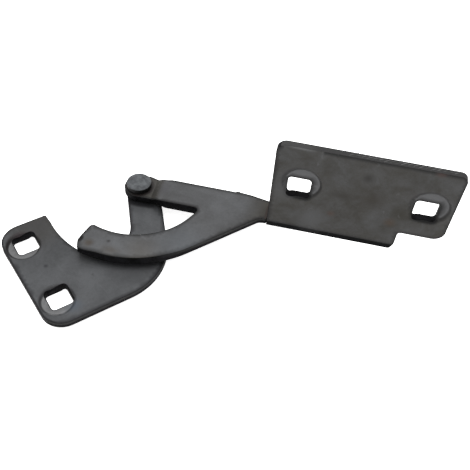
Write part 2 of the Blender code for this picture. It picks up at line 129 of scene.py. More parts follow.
class Groups:
    """The shader node groups that the finishes share."""

    def __init__(self) -> None:
        """Build every group once."""
        self.mottle = self._mottle()
        self.grain = self._grain()
        self.spot = self._spot()
        self.scratch = self._scratch()

    @staticmethod
    def _new(name: str, inputs: Iterable[tuple[str, str, Any]], outputs: Iterable[tuple[str, str]]) -> Any:
        """Start a group with named sockets.

        Args:
            name: The group's name.
            inputs: Name, socket type and default of each input.
            outputs: Name and socket type of each output.

        Returns:
            The node tree, with its group input and output nodes placed.
        """
        tree = bpy.data.node_groups.new(name, "ShaderNodeTree")
        for label, kind, default in inputs:
            socket = tree.interface.new_socket(label, in_out="INPUT", socket_type=kind)
            if default is not None:
                socket.default_value = default
        for label, kind in outputs:
            tree.interface.new_socket(label, in_out="OUTPUT", socket_type=kind)
        tree.nodes.new("NodeGroupInput").name = "in"
        tree.nodes.new("NodeGroupOutput").name = "out"
        return tree

    def _mottle(self) -> Any:
        """Return the cloudy colour of mill scale, broad clouds with fine speckle over them."""
        tree = self._new(
            "mill_mottle",
            [("Vector", "NodeSocketVector", None),
             ("Light", "NodeSocketColor", (0.12, 0.12, 0.12, 1)),
             ("Dark", "NodeSocketColor", (0.07, 0.07, 0.07, 1)),
             ("Cloud Scale", "NodeSocketFloat", 38.0),
             ("Speckle Scale", "NodeSocketFloat", 620.0),
             ("Speckle", "NodeSocketFloat", 0.35)],
            [("Color", "NodeSocketColor"), ("Mask", "NodeSocketFloat")])
        place = given(tree, "Vector")
        cloud = add_node(tree, "ShaderNodeTexNoise", {
            "Vector": place, "Scale": given(tree, "Cloud Scale"),
            "Detail": 5.0, "Roughness": 0.62, "Distortion": 0.35})
        speckle = add_node(tree, "ShaderNodeTexNoise", {
            "Vector": place, "Scale": given(tree, "Speckle Scale"), "Detail": 3.0, "Roughness": 0.7})
        wide = add_node(tree, "ShaderNodeMapRange", {
            "Value": Socket(cloud, "Fac"), "From Min": 0.32, "From Max": 0.68})
        fine = add_node(tree, "ShaderNodeMapRange", {
            "Value": Socket(speckle, "Fac"), "From Min": 0.3, "From Max": 0.7, "To Min": -0.5, "To Max": 0.5})
        share = times(tree, Socket(fine, "Result"), given(tree, "Speckle"))
        total = Socket(add_node(tree, "ShaderNodeMath", {0: Socket(wide, "Result"), 1: share},
                                operation="ADD", use_clamp=True), "Value")
        blend = add_node(tree, "ShaderNodeMix", {
            MIX_SHARE: total, MIX_UNDER: given(tree, "Dark"), MIX_OVER: given(tree, "Light")},
            data_type="RGBA")
        put_out(tree, {"Color": Socket(blend, MIX_RESULT), "Mask": total})
        return tree

    def _grain(self) -> Any:
        """Return the height of the sheet's rolling grain and fine pitting."""
        tree = self._new(
            "rolled_grain",
            [("Vector", "NodeSocketVector", None),
             ("Stretch", "NodeSocketVector", (1.0, 5.0, 1.0)),
             ("Grain Scale", "NodeSocketFloat", 900.0),
             ("Pit Scale", "NodeSocketFloat", 300.0),
             ("Pitting", "NodeSocketFloat", 0.4)],
            [("Height", "NodeSocketFloat")])
        place = given(tree, "Vector")
        scaled = add_node(tree, "ShaderNodeVectorMath", {0: place, 1: given(tree, "Stretch")},
                          operation="MULTIPLY")
        lines = add_node(tree, "ShaderNodeTexNoise", {
            "Vector": Socket(scaled, "Vector"), "Scale": given(tree, "Grain Scale"),
            "Detail": 4.0, "Roughness": 0.6})
        pits = add_node(tree, "ShaderNodeTexNoise", {
            "Vector": place, "Scale": given(tree, "Pit Scale"), "Detail": 2.0, "Roughness": 0.5})
        deep = add_node(tree, "ShaderNodeMapRange", {
            "Value": Socket(pits, "Fac"), "From Min": 0.28, "From Max": 0.42, "To Min": -1.0, "To Max": 0.0})
        share = times(tree, Socket(deep, "Result"), given(tree, "Pitting"))
        total = add_node(tree, "ShaderNodeMath", {0: Socket(lines, "Fac"), 1: share}, operation="ADD")
        put_out(tree, {"Height": Socket(total, "Value")})
        return tree

    def _spot(self) -> Any:
        """Return the mask of one soft, ragged spot round a point of the object, which serves stains and
        painted shade alike.
        """
        tree = self._new(
            "soft_spot",
            [("Vector", "NodeSocketVector", None),
             ("Centre", "NodeSocketVector", None),
             ("Squash", "NodeSocketVector", (1.0, 1.0, 1.0)),
             ("Radius", "NodeSocketFloat", 0.004),
             ("Core", "NodeSocketFloat", 0.001),
             ("Ragged", "NodeSocketFloat", 0.002),
             ("Strength", "NodeSocketFloat", 1.0)],
            [("Mask", "NodeSocketFloat")])
        place = given(tree, "Vector")
        away = add_node(tree, "ShaderNodeVectorMath", {0: place, 1: given(tree, "Centre")},
                        operation="SUBTRACT")
        narrow = add_node(tree, "ShaderNodeVectorMath", {0: Socket(away, "Vector"), 1: given(tree, "Squash")},
                          operation="MULTIPLY")
        reach = add_node(tree, "ShaderNodeVectorMath", {0: Socket(narrow, "Vector")}, operation="LENGTH")
        noisy = add_node(tree, "ShaderNodeTexNoise", {
            "Vector": place, "Scale": 420.0, "Detail": 4.0, "Roughness": 0.65})
        shift = add_node(tree, "ShaderNodeMath", {0: Socket(noisy, "Fac"), 1: 0.5}, operation="SUBTRACT")
        rag = add_node(tree, "ShaderNodeMath", {
            0: Socket(shift, "Value"), 1: given(tree, "Ragged"), 2: Socket(reach, "Value")},
            operation="MULTIPLY_ADD")
        soft = add_node(tree, "ShaderNodeMapRange", {
            "Value": Socket(rag, "Value"), "From Min": given(tree, "Radius"), "From Max": given(tree, "Core"),
            "To Min": 0.0, "To Max": 1.0}, interpolation_type="SMOOTHSTEP")
        power = times(tree, Socket(soft, "Result"), given(tree, "Strength"), use_clamp=True)
        put_out(tree, {"Mask": power})
        return tree

    def _scratch(self) -> Any:
        """Return the mask of fine scuffs that run one way and come in patches."""
        tree = self._new(
            "fine_scuffs",
            [("Vector", "NodeSocketVector", None),
             ("Turn", "NodeSocketVector", (0.0, 0.0, 0.6)),
             ("Scale", "NodeSocketFloat", 240.0),
             ("Rarity", "NodeSocketFloat", 0.62)],
            [("Mask", "NodeSocketFloat")])
        place = given(tree, "Vector")
        turn = add_node(tree, "ShaderNodeVectorRotate", {"Vector": place, "Rotation": given(tree, "Turn")},
                        rotation_type="EULER_XYZ")
        thin = add_node(tree, "ShaderNodeVectorMath", {0: Socket(turn, "Vector"), 1: (0.06, 2.4, 1.0)},
                        operation="MULTIPLY")
        lines = add_node(tree, "ShaderNodeTexNoise", {
            "Vector": Socket(thin, "Vector"), "Scale": given(tree, "Scale"),
            "Detail": 3.0, "Roughness": 0.6, "Distortion": 0.2})
        patch = add_node(tree, "ShaderNodeTexNoise", {"Vector": place, "Scale": 55.0, "Detail": 2.0})
        sharp = add_node(tree, "ShaderNodeMath", {0: Socket(lines, "Fac"), 1: given(tree, "Rarity")},
                         operation="SUBTRACT")
        lift = times(tree, Socket(sharp, "Value"), 14.0, use_clamp=True)
        area = add_node(tree, "ShaderNodeMapRange", {
            "Value": Socket(patch, "Fac"), "From Min": 0.5, "From Max": 0.66})
        put_out(tree, {"Mask": times(tree, lift, Socket(area, "Result"))})
        return tree


def add_node(tree: Any, kind: str, values: dict[Any, Any], **settings: Any) -> Any:
    """Add a node to a tree and join it up.

    Args:
        tree: The node tree.
        kind: Blender's name of the node type.
        values: What each input takes, by name or number: a plain value, or the Socket it is joined to.
        settings: Properties of the node itself.

    Returns:
        The new node.
    """
    node = tree.nodes.new(kind)
    for key, value in settings.items():
        setattr(node, key, value)
    for key, value in values.items():
        if isinstance(value, Socket):
            tree.links.new(value.node.outputs[value.output], node.inputs[key])
        else:
            node.inputs[key].default_value = value
    return node


def times(tree: Any, value: Socket, share: Socket | float, **settings: Any) -> Socket:
    """Multiply a value.

    Args:
        tree: The node tree.
        value: The output that gives the value.
        share: Another output, or a number.
        settings: Properties of the Math node.

    Returns:
        The output of the product.
    """
    product = add_node(tree, "ShaderNodeMath", {0: value, 1: share}, operation="MULTIPLY", **settings)
    return Socket(product, "Value")


def given(tree: Any, label: str) -> Socket:
    """Return one of a group's own inputs, as an output inside the group."""
    return Socket(tree.nodes["in"], label)


def put_out(tree: Any, values: dict[str, Socket], node: str = "out") -> None:
    """Join outputs to the node that ends a tree.

    Args:
        tree: The node tree.
        values: The output for each of the node's inputs.
        node: The name of the node that ends the tree.
    """
    for label, source in values.items():
        tree.links.new(source.node.outputs[source.output], tree.nodes[node].inputs[label])


def linear(red: float, green: float, blue: float) -> tuple[float, float, float, float]:
    """Return a colour with its alpha, for a shader's socket."""
    return (red, green, blue, 1.0)


# Finishes


@dataclass(frozen=True)
class StainAndShade:
    """A stain, rust bloom, worn patch, painted shadow or painted highlight at a known place, in millimetres
    of the row frame.
    """

    centre: Point3
    radius: float
    colour: Colour
    strength: float = 0.6
    core: float = 0.0
    ragged: float = 2.0
    squash: Point3 = (1.0, 1.0, 1.0)


class Surface:
    """A material under way: its tree, its shader and the piece's own coordinates."""

    def __init__(self, name: str, metallic: float, specular: float) -> None:
        """Start the material.

        Args:
            name: The material's name.
            metallic: How far it mirrors as bare metal does.
            specular: How far it mirrors as a plain skin does.
        """
        self.made = bpy.data.materials.new(name)
        self.made.use_nodes = True
        self.tree = self.made.node_tree
        shader = self.tree.nodes["Principled BSDF"]
        shader.inputs["Specular IOR Level"].default_value = specular
        shader.inputs["Metallic"].default_value = metallic
        self.place = Socket(add_node(self.tree, "ShaderNodeTexCoord", {}), "Object")

    def group(self, shared: Any, values: dict[str, Any]) -> Any:
        """Place a shared group that reads the piece's own coordinates.

        Args:
            shared: The group's tree.
            values: The values of its inputs by name.

        Returns:
            The group's node.
        """
        return add_node(self.tree, "ShaderNodeGroup", {"Vector": self.place} | values, node_tree=shared)

    def mask(self, name: str) -> Socket:
        """Return the output of a mask that the mesh carries."""
        return Socket(add_node(self.tree, "ShaderNodeAttribute", {}, attribute_name=name), "Fac")

    def lay(self, colour: Socket, tint: Colour, mask: Socket) -> Socket:
        """Lay a tint over a colour by a mask.

        Args:
            colour: The colour so far.
            tint: The colour laid over it.
            mask: The mask.

        Returns:
            The output of the new colour.
        """
        blend = add_node(self.tree, "ShaderNodeMix", {
            MIX_SHARE: mask, MIX_UNDER: colour, MIX_OVER: linear(*tint)}, data_type="RGBA")
        return Socket(blend, MIX_RESULT)

    def finish(self, colour: Socket, mottle: Any, roughness: tuple[float, float], grain: Any,
               bump: float, depth: float) -> Any:
        """Join the colour, the roughness and the grain to the shader.

        Args:
            colour: The colour.
            mottle: The group whose clouds vary the roughness.
            roughness: The least and the greatest roughness.
            grain: The group that gives the grain's height.
            bump: The strength of the grain.
            depth: The depth of the grain, in metres.

        Returns:
            The finished material.
        """
        rough = add_node(self.tree, "ShaderNodeMapRange", {
            "Value": Socket(mottle, "Mask"), "To Min": roughness[1], "To Max": roughness[0]})
        relief = add_node(self.tree, "ShaderNodeBump", {
            "Height": Socket(grain, "Height"), "Strength": bump, "Distance": depth})
        put_out(self.tree, {"Base Color": colour, "Roughness": Socket(rough, "Result"),
                            "Normal": Socket(relief, "Normal")}, "Principled BSDF")
        return self.made


@dataclass(frozen=True)
class SheetFinish:
    """Bare mill steel on the rolled faces of a plate."""

    name: str
    light: Colour
    dark: Colour
    edge: Colour
    pad: Colour = UNSEEN
    # The slope and bend tints are painted shade; the crease tint is rust with painted shade.
    slope: Colour = UNSEEN
    crease_rust_and_shade: Colour = UNSEEN
    fold: Colour = UNSEEN
    patch: Colour = UNSEEN
    bend: Colour = UNSEEN
    metallic: float = 0.3
    specular: float = 0.14
    roughness: tuple[float, float] = (0.46, 0.62)
    cloud_scale: float = 38.0
    patch_scale: float = 2.4
    speckle: float = 0.35
    stretch: Point3 = (1.0, 5.0, 1.0)
    bump: float = 0.12
    bump_depth: float = 0.0003
    scuff_turn: float = 0.6
    scuff_strength: float = 0.22
    scuff_light: float = 1.4
    stains_and_shades: tuple[StainAndShade, ...] = ()

    def material(self, groups: Groups) -> Any:
        """Build the material.

        Args:
            groups: The shared shader groups.

        Returns:
            The finished material.
        """
        surface = Surface(self.name, self.metallic, self.specular)
        mottle = surface.group(groups.mottle, {
            "Light": linear(*self.light), "Dark": linear(*self.dark),
            "Cloud Scale": self.cloud_scale, "Speckle": self.speckle})
        clouds = surface.group(groups.mottle, {"Cloud Scale": self.patch_scale * self.cloud_scale})
        colour = surface.lay(Socket(mottle, "Color"), self.fold, surface.mask("fold"))
        patches = times(surface.tree, surface.mask("fold"), Socket(clouds, "Mask"))
        colour = surface.lay(colour, self.patch, patches)
        # The slope and bend masks lay painted shade and the crease mask lays rust with painted shade; on the
        # rivet the edge mask lays painted shade on the head's side wall.
        for name, tint in (("pad", self.pad), ("slope", self.slope), ("crease_rust_and_shade", self.crease_rust_and_shade),
                           ("bend", self.bend), ("edge", self.edge)):
            colour = surface.lay(colour, tint, surface.mask(name))
        # Spots of stain, rust and wear, and spots of painted shadow and highlight.
        for spot_mark in self.stains_and_shades:
            spot = surface.group(groups.spot, {
                "Centre": [c * MM for c in spot_mark.centre], "Squash": spot_mark.squash,
                "Radius": spot_mark.radius * MM, "Core": spot_mark.core * MM,
                "Ragged": spot_mark.ragged * MM, "Strength": spot_mark.strength})
            colour = surface.lay(colour, spot_mark.colour, Socket(spot, "Mask"))
        scuff = surface.group(groups.scratch, {"Turn": (0.0, 0.0, self.scuff_turn)})
        pale = times(surface.tree, Socket(scuff, "Mask"), self.scuff_strength)
        colour = surface.lay(colour, tuple(self.scuff_light * c for c in self.light), pale)
        grain = surface.group(groups.grain, {"Stretch": self.stretch})
        return surface.finish(colour, mottle, self.roughness, grain, self.bump, self.bump_depth)


@dataclass(frozen=True)
class CutFinish:
    """The dark, torn edge that blanking leaves round a plate."""

    name: str
    dark: Colour
    light: Colour
    bright: Colour
    metallic: float = 0.0
    specular: float = 0.03
    roughness: tuple[float, float] = (0.6, 0.8)
    cloud_scale: float = 160.0
    speckle: float = 0.5
    stretch: Point3 = (2.0, 2.0, 0.4)
    pitting: float = 0.8
    bump: float = 0.35
    bump_depth: float = 0.0004

    def material(self, groups: Groups) -> Any:
        """Build the material.

        Args:
            groups: The shared shader groups.

        Returns:
            The finished material.
        """
        surface = Surface(self.name, self.metallic, self.specular)
        mottle = surface.group(groups.mottle, {
            "Light": linear(*self.light), "Dark": linear(*self.dark),
            "Cloud Scale": self.cloud_scale, "Speckle": self.speckle})
        colour = surface.lay(Socket(mottle, "Color"), self.bright, surface.mask("worn"))
        grain = surface.group(groups.grain, {"Stretch": self.stretch, "Pitting": self.pitting})
        return surface.finish(colour, mottle, self.roughness, grain, self.bump, self.bump_depth)


# Outlines


def polar(radius: float, angle: float) -> Vector:
    """Return the point at this radius and angle from the pivot."""
    return Vector((radius * math.cos(angle), radius * math.sin(angle)))


def tangent_point(radius: float, angle: float, distance: float) -> Vector:
    """Return a point on the circle's tangent, this far on in the sense of growing angle."""
    return polar(radius, angle) + Vector((-math.sin(angle), math.cos(angle))) * distance


def arc_corners(radius: float, start: float, end: float, count: int) -> list[Corner]:
    """Return corners that, once rounded, follow an arc centred on the pivot.

    Args:
        radius: The arc's radius.
        start: The angle where it starts.
        end: The angle where it ends.
        count: How many corners it is made of.

    Returns:
        The x, y and fillet radius of each corner.
    """
    part = (end - start) / count
    reach = radius / math.cos(part / 2.0)
    return [(*polar(reach, start + part * (index + 0.5)), radius) for index in range(count)]


def crossing(point_a: Vector, way_a: Vector, point_b: Vector, way_b: Vector) -> Vector:
    """Return where two lines in the plane cross.

    Args:
        point_a: A point of the first line.
        way_a: The way it runs.
        point_b: A point of the second line.
        way_b: The way it runs.

    Returns:
        The crossing point.
    """
    offset = point_b - point_a
    cross = way_a.x * way_b.y - way_a.y * way_b.x
    return point_a + way_a * ((offset.x * way_b.y - offset.y * way_b.x) / cross)


def rounded_outline(corners: list[Corner], tolerance: float = 0.006) -> list[Vector]:
    """Turn corners into a closed outline with true arcs.

    Args:
        corners: The x, y and fillet radius of each corner.
        tolerance: How far a chord may lie off its arc.

    Returns:
        The points of the outline, the way the corners run.
    """
    points: list[Vector] = []
    for index, (x, y, radius) in enumerate(corners):
        corner = Vector((x, y))
        before = (Vector(corners[index - 1][:2]) - corner).normalized()
        after = (Vector(corners[(index + 1) % len(corners)][:2]) - corner).normalized()
        half = before.angle(after) / 2.0
        centre = corner + (before + after).normalized() * (radius / math.sin(half))
        first = corner + before * (radius / math.tan(half)) - centre
        last = corner + after * (radius / math.tan(half)) - centre
        turn = first.angle_signed(last)
        step = 2.0 * math.acos(max(0.8, 1.0 - tolerance / radius))
        steps = max(3, math.ceil(abs(turn) / step))
        points += [centre + Matrix.Rotation(-turn * n / steps, 2) @ first for n in range(steps + 1)]
    return [p for i, p in enumerate(points) if (p - points[i - 1]).length > 0.01]


def smooth(share: float) -> float:
    """Return a soft step of a share from 0 to 1."""
    share = min(1.0, max(0.0, share))
    return share * share * (3.0 - 2.0 * share)


def signed_area(points: list[Vector]) -> float:
    """Return the outline's area, above zero if it runs anticlockwise."""
    return sum(a.cross(b) for a, b in zip(points, points[1:] + points[:1])) / 2.0


def stepped(points: list[Vector], step: Callable[[Vector], float]) -> list[Vector]:
    """Add points to a closed outline so that no side is longer than the step there.

    Args:
        points: The outline.
        step: The longest side allowed near a point.

    Returns:
        The finer outline.
    """
    finer: list[Vector] = []
    for a, b in zip(points, points[1:] + points[:1]):
        parts = max(1, math.ceil((b - a).length / step((a + b) / 2.0)))
        finer += [a.lerp(b, n / parts) for n in range(parts)]
    return finer


def inward(points: list[Vector]) -> list[Vector]:
    """Return each point's way into the metal, lengthened at corners.

    Args:
        points: A closed outline with the metal on its left.

    Returns:
        One way for each point.
    """
    ways = []
    for i, point in enumerate(points):
        a = (point - points[i - 1]).normalized()
        b = (points[(i + 1) % len(points)] - point).normalized()
        normal = (Vector((-a.y, a.x)) + Vector((-b.y, b.x))).normalized()
        ways.append(normal / max(0.6, normal.dot(Vector((-a.y, a.x)))))
    return ways


# Plates


@dataclass(frozen=True)
class Pad:
    """A round pad pressed into the sheet, with a square bolt hole punched through it."""

    hole_at: Vector
    centre: Vector
    hole: float
    floor: float
    push: Push
    # The next two fields set which side of the slope takes wider painted shade, and how strong that painted
    # shade is.
    shaded_side: Vector
    slope_shade: float = 1.0
    mouth: float = 0.3
    depth: float = 1.5
    slope: float = 2.1
    corner: float = 2.2
    thickness: float = 4.0
    proud_growth: float = 1.6
    rim: float = 0.15
    rim_scale: float = 0.3
    ring_points: int = 84
    slope_rings: int = 8
    outer_rings: int = 6
    outer_pitch: float = 0.45

    def share(self, x: float, y: float, wider: float = 0.0) -> float:
        """Return how far down the pad's slope a point lies, from 0 outside it to 1 on its floor."""
        away = (math.hypot(x - self.centre.x, y - self.centre.y) - self.floor - wider) / self.slope
        return min(1.0, max(0.0, 1.0 - away))

    def sink(self, point: Vector) -> float:
        """Return how far the pad moves a point of the sheet, more widely on its proud side."""
        proud = 0.5 + self.push.value * point.z / self.thickness
        return self.push.value * self.depth * smooth(self.share(point.x, point.y, self.proud_growth * proud))

    def slope_shade_share(self, x: float, y: float) -> float:
        """Return how much painted shade lies at a point of the pad's slope, wider on its shaded side.

        Args:
            x: The point's place across the blank.
            y: Its place along the blank.

        Returns:
            The share of painted shade, from 0 to 1.
        """
        offset = Vector((x, y)) - self.centre
        away = (offset.length - self.floor) / self.slope
        reach = 0.6 + 0.75 * max(0.0, offset.normalized().dot(self.shaded_side))
        return self.slope_shade * smooth(away / 0.35) * smooth((reach + 0.3 - away) / 0.6)

    def outline(self) -> list[Vector]:
        """Outline the bolt hole, clockwise, so that the metal is on its left.

        Returns:
            The points of the outline.
        """
        half = self.hole / 2.0
        corners = [(-half, -half), (-half, half), (half, half), (half, -half)]
        moved = [(self.hole_at.x + x, self.hole_at.y + y, self.corner) for x, y in corners]
        return rounded_outline(moved)

    def rings(self) -> list[Vector]:
        """Lay points on rings round the pad, close together over its slope.

        Returns:
            The points, each ring turned by half a step from the one inside it.
        """
        radii = [self.floor - 0.35]
        radii += [self.floor + self.slope * n / self.slope_rings for n in range(self.slope_rings + 1)]
        radii += [radii[-1] + self.outer_pitch * n for n in range(1, self.outer_rings + 1)]
        return [self.centre + polar(r, math.tau * (n + 0.5 * (k % 2)) / self.ring_points)
                for k, r in enumerate(radii) for n in range(self.ring_points)]


@dataclass
class RimProfile:
    """The section of a blanked edge: rolled over, burnished, then torn."""

    roll: float
    tear: float
    half: float
    support: float = 0.3
    mouth: float = 0.0

    def rows(self) -> list[tuple[float, float, float]]:
        """Lay out the rows of points down the cut edge.

        Returns:
            Inset, height and share of tearing of each row, from the upper face to the lower one.
        """
        top, low, roll, wide = self.half, -self.half, self.roll, self.roll + self.mouth
        rows = [(wide + self.support, top, 0.0), (wide, top, 0.0)]
        for angle in (25.0, 50.0, 72.0, 90.0):
            turn = math.radians(angle)
            rows.append((wide - wide * math.sin(turn), top - roll + roll * math.cos(turn), 0.0))
        rows += [(0.0, top * 0.4, 0.3), (self.tear * 0.6, 0.0, 0.8), (self.tear, low * 0.3, 1.0),
                 (self.tear * 0.6, low * 0.6, 0.8)]
        for angle in (90.0, 65.0, 35.0, 0.0):
            turn = math.radians(angle)
            rows.append((roll - roll * math.sin(turn), low + roll - roll * math.cos(turn), 0.0))
        rows.append((roll + self.support, low, 0.0))
        return rows


@dataclass
class FlatNet:
    """The net of a flat blank: its points with their edge scale, and the faces of its edges."""

    points: list[tuple[Vector, float]] = field(default_factory=list)
    quads: list[tuple[int, int, int, int, int]] = field(default_factory=list)
    upper: list[int] = field(default_factory=list)
    lower: list[int] = field(default_factory=list)


@dataclass
class PressedPlate:
    """A plate blanked from sheet, with pressed pads, built as finely as it is seen."""

    name: str
    body: Body
    slot: str
    thickness: float = 4.0
    spacing: float = 2.0
    pads: list[Pad] = field(default_factory=list)
    row_pitch: float = 0.866
    loop_gap: float = 0.22
    hole_step: float = 0.7
    tear_wander: float = 0.07
    wave_height: float = 0.05
    wave_rate: float = 0.035
    # How deep in the bend a face must lie to take the dull bend material, painted shade.
    shaded_bend_share: float = 0.6

    def outline(self) -> list[Vector]:
        """Return the outline of the flat blank."""
        raise NotImplementedError

    def place(self, point: Vector) -> Vector:
        """Carry a point of the flat blank to its place on the finished plate."""
        raise NotImplementedError

    def step(self, point: Vector) -> float:
        """Return the longest side that the mesh may have near a point of the blank."""
        return 0.9

    def extra_points(self) -> list[Vector]:
        """Return more points inside the blank, where it bends."""
        return []

    def taper(self, point: Vector) -> tuple[float, float]:
        """Return how far the cut edge leans in at its top and out at its foot near a point."""
        return 0.0, 0.0

    def dent(self, point: Vector) -> float:
        """Return how far a knock or the press's pull moves the sheet at a point."""
        return 0.0

    def marks(self, point: Vector) -> dict[str, float]:
        """Return the plate's own masks at a point of the blank."""
        return {}

    def fill(self, loops: list[list[Vector]]) -> tuple[list[Vector], list[tuple[int, int, int]]]:
        """Fill the face inside the loops with even triangles.

        Args:
            loops: The outer loop and the holes, the metal on the left of each.

        Returns:
            The points inside, and triangles numbered over the loops' points and then these.
        """
        rim = [p for loop in loops for p in loop]
        starts = np.cumsum([0] + [len(loop) for loop in loops])
        edges = [(int(s) + i, int(s) + (i + 1) % len(loop))
                 for s, loop in zip(starts, loops) for i in range(len(loop))]
        ends = np.array([(rim[a][0], rim[a][1], rim[b][0], rim[b][1]) for a, b in edges])
        own = [p for pad in self.pads for p in pad.rings()] + self.extra_points()
        fixed = np.array([(p.x, p.y) for p in own]) if own else np.zeros((0, 2))
        low, high = ends[:, :2].min(0), ends[:, :2].max(0)
        rows = np.arange(low[1], high[1], self.spacing * self.row_pitch)
        grid = np.array([(x, y) for k, y in enumerate(rows)
                         for x in np.arange(low[0] + self.spacing * 0.5 * (k % 2), high[0], self.spacing)])
        fixed = fixed[inside(fixed, ends) & (gap_to(fixed, ends) > self.loop_gap)]
        grid = grid[inside(grid, ends) & (gap_to(grid, ends) > 0.5 * self.spacing)]
        if len(fixed):
            near = np.array([np.min(np.sum((fixed - g) ** 2, axis=1)) for g in grid])
            grid = grid[near > (0.6 * self.spacing) ** 2]
        middle = [Vector(p) for p in np.vstack([fixed, grid]).tolist()]
        made = geometry.delaunay_2d_cdt(rim + middle, edges, [], 0, 1e-5)
        source = [found[0] for found in made[3]]
        triangles = [tuple(source[v] for v in face) for face in made[2]]
        points = np.array([(p.x, p.y) for p in rim + middle])
        centres = np.array([points[list(t)].mean(0) for t in triangles])
        keep = inside(centres, ends)
        return middle, [t for t, k in zip(triangles, keep) if k]

    def cut_edge(self, net: FlatNet, loop: list[Vector], number: int) -> list[Vector]:
        """Add the cut edge round a loop to the net.

        Args:
            net: The net so far.
            loop: The loop's points, the metal on their left.
            number: 0 for the outline, 1 for the first bolt hole and so on.

        Returns:
            The points of the loop inside which the sheet's face is filled.
        """
        pad = self.pads[number - 1] if number else None
        half = self.thickness / 2.0
        profile = RimProfile(0.3, 0.06, half, 0.55)
        if pad:
            profile = RimProfile(0.35, 0.03, half, pad.rim, pad.mouth)
        rows, ways, count, first = profile.rows(), inward(loop), len(loop), len(net.points)
        for row, (inset, height, torn) in enumerate(rows):
            depth = min(row, len(rows) - 1 - row)
            scale = pad.rim_scale if pad and depth == 0 else EDGE_SHARES[min(depth, 3)]
            up = (height + half) / self.thickness
            for point, way in zip(loop, ways):
                rough = noise.noise(Vector((point.x * 0.9, point.y * 0.9, height * 2.2 + number)))
                lean_in, lean_out = (0.0, 0.0) if pad else self.taper(point)
                lean = lean_in * up - lean_out * (1.0 - up) * min(1.0, 4.0 * (1.0 - up))
                spot = point + way * (inset + lean + torn * self.tear_wander * rough)
                net.points.append((Vector((spot.x, spot.y, height)), scale))
        cut_rows = range(1 if pad else 3, len(rows) - 3)
        for row in range(len(rows) - 1):
            finish = Slot.CUT if row in cut_rows else Slot.SHEET
            above, below = first + row * count, first + (row + 1) * count
            for i in range(count):
                j = (i + 1) % count
                net.quads.append((above + i, below + i, below + j, above + j, finish.value))
        last = first + (len(rows) - 1) * count
        net.upper += range(first, first + count)
        net.lower += range(last, last + count)
        return [Vector(net.points[first + i][0][:2]) for i in range(count)]

    def press(self, sheet: Any, net: FlatNet, origin: Vector) -> None:
        """Press and fold the net's points to their places, and give each its masks.

        Args:
            sheet: The mesh that takes the points.
            net: The whole net.
            origin: The pivot's place in the row frame, in metres.
        """
        layers = {key: sheet.verts.layers.float.new(key) for key in MASKS}
        for point, scale in net.points:
            at_wave = Vector((point.x * self.wave_rate, point.y * self.wave_rate, 3.0))
            wave = self.wave_height * noise.noise(at_wave)
            shift = sum(pad.sink(point) for pad in self.pads) + self.dent(point)
            moved = self.place(Vector((point.x, point.y, point.z + shift + wave)))
            vert = sheet.verts.new(moved * MM + origin)
            share = max((pad.share(point.x, point.y) for pad in self.pads), default=0.0)
            # The pads' slopes take painted shade, wider on each pad's shaded side.
            slope_shade = max((pad.slope_shade_share(point.x, point.y) for pad in self.pads), default=0.0)
            masks = {"edge": scale, "pad": smooth(2.0 * share - 1.0), "slope": slope_shade} | self.marks(point)
            for key, value in masks.items():
                vert[layers[key]] = value
        sheet.verts.ensure_lookup_table()

    def build(self, finishes: dict[Slot, Any], origin: Vector) -> Any:
        """Build the plate.

        Args:
            finishes: The material of each slot.
            origin: The pivot's place in the row frame, in metres.

        Returns:
            The plate as an object at the origin of the row frame.
        """
        outer = self.outline()
        if signed_area(outer) < 0.0:
            outer.reverse()
        loops = [stepped(outer, self.step)]
        loops += [stepped(pad.outline(), lambda p: self.hole_step) for pad in self.pads]
        net = FlatNet()
        middle, triangles = self.fill([self.cut_edge(net, loop, number) for number, loop in enumerate(loops)])
        for height, ring in ((self.thickness / 2.0, net.upper), (-self.thickness / 2.0, net.lower)):
            start = len(net.points)
            net.points += [(Vector((p.x, p.y, height)), 0.0) for p in middle]
            ring += range(start, start + len(middle))
        sheet = bmesh.new()
        self.press(sheet, net, origin)
        for *corners, slot in net.quads:
            sheet.faces.new([sheet.verts[i] for i in corners]).material_index = slot
        for triangle in triangles:
            sheet.faces.new([sheet.verts[net.upper[i]] for i in triangle])
            sheet.faces.new([sheet.verts[net.lower[i]] for i in reversed(triangle)])
        # Sheet faces deep in the bend take the dull bend material, painted shade.
        bend = sheet.verts.layers.float["bend"]
        for face in sheet.faces:
            in_bend = min(v[bend] for v in face.verts) > self.shaded_bend_share
            if face.material_index == Slot.SHEET.value and in_bend:
                face.material_index = Slot.BEND.value
        bmesh.ops.recalc_face_normals(sheet, faces=sheet.faces)
        mesh = bpy.data.meshes.new(self.name)
        sheet.to_mesh(mesh)
        sheet.free()
        return finished_piece(self.name, mesh, [finishes[kind] for kind in Slot if kind in finishes])


def inside(points: np.ndarray, ends: np.ndarray) -> np.ndarray:
    """Find the points inside the loops made of these sides, holes left out.

    Args:
        points: The points, one a row.
        ends: The x and y of both ends of each side, one side a row.

    Returns:
        True for each point inside.
    """
    hits = np.zeros(len(points), int)
    if not len(points):
        return hits.astype(bool)
    for x0, y0, x1, y1 in ends:
        spans = (points[:, 1] < max(y0, y1)) & (points[:, 1] >= min(y0, y1))
        if y0 != y1:
            at = x0 + (points[:, 1] - y0) * (x1 - x0) / (y1 - y0)
            hits += spans & (at > points[:, 0])
    return hits % 2 == 1


def gap_to(points: np.ndarray, ends: np.ndarray) -> np.ndarray:
    """Measure each point's distance from the nearest of these sides.

    Args:
        points: The points, one a row.
        ends: The x and y of both ends of each side, one side a row.

    Returns:
        One distance for each point.
    """
    best = np.full(len(points), 1e9)
    for x0, y0, x1, y1 in ends:
        dx, dy = x1 - x0, y1 - y0
        t = np.clip(((points[:, 0] - x0) * dx + (points[:, 1] - y0) * dy) / (dx * dx + dy * dy), 0, 1)
        best = np.minimum(best, np.hypot(points[:, 0] - x0 - t * dx, points[:, 1] - y0 - t * dy))
    return best


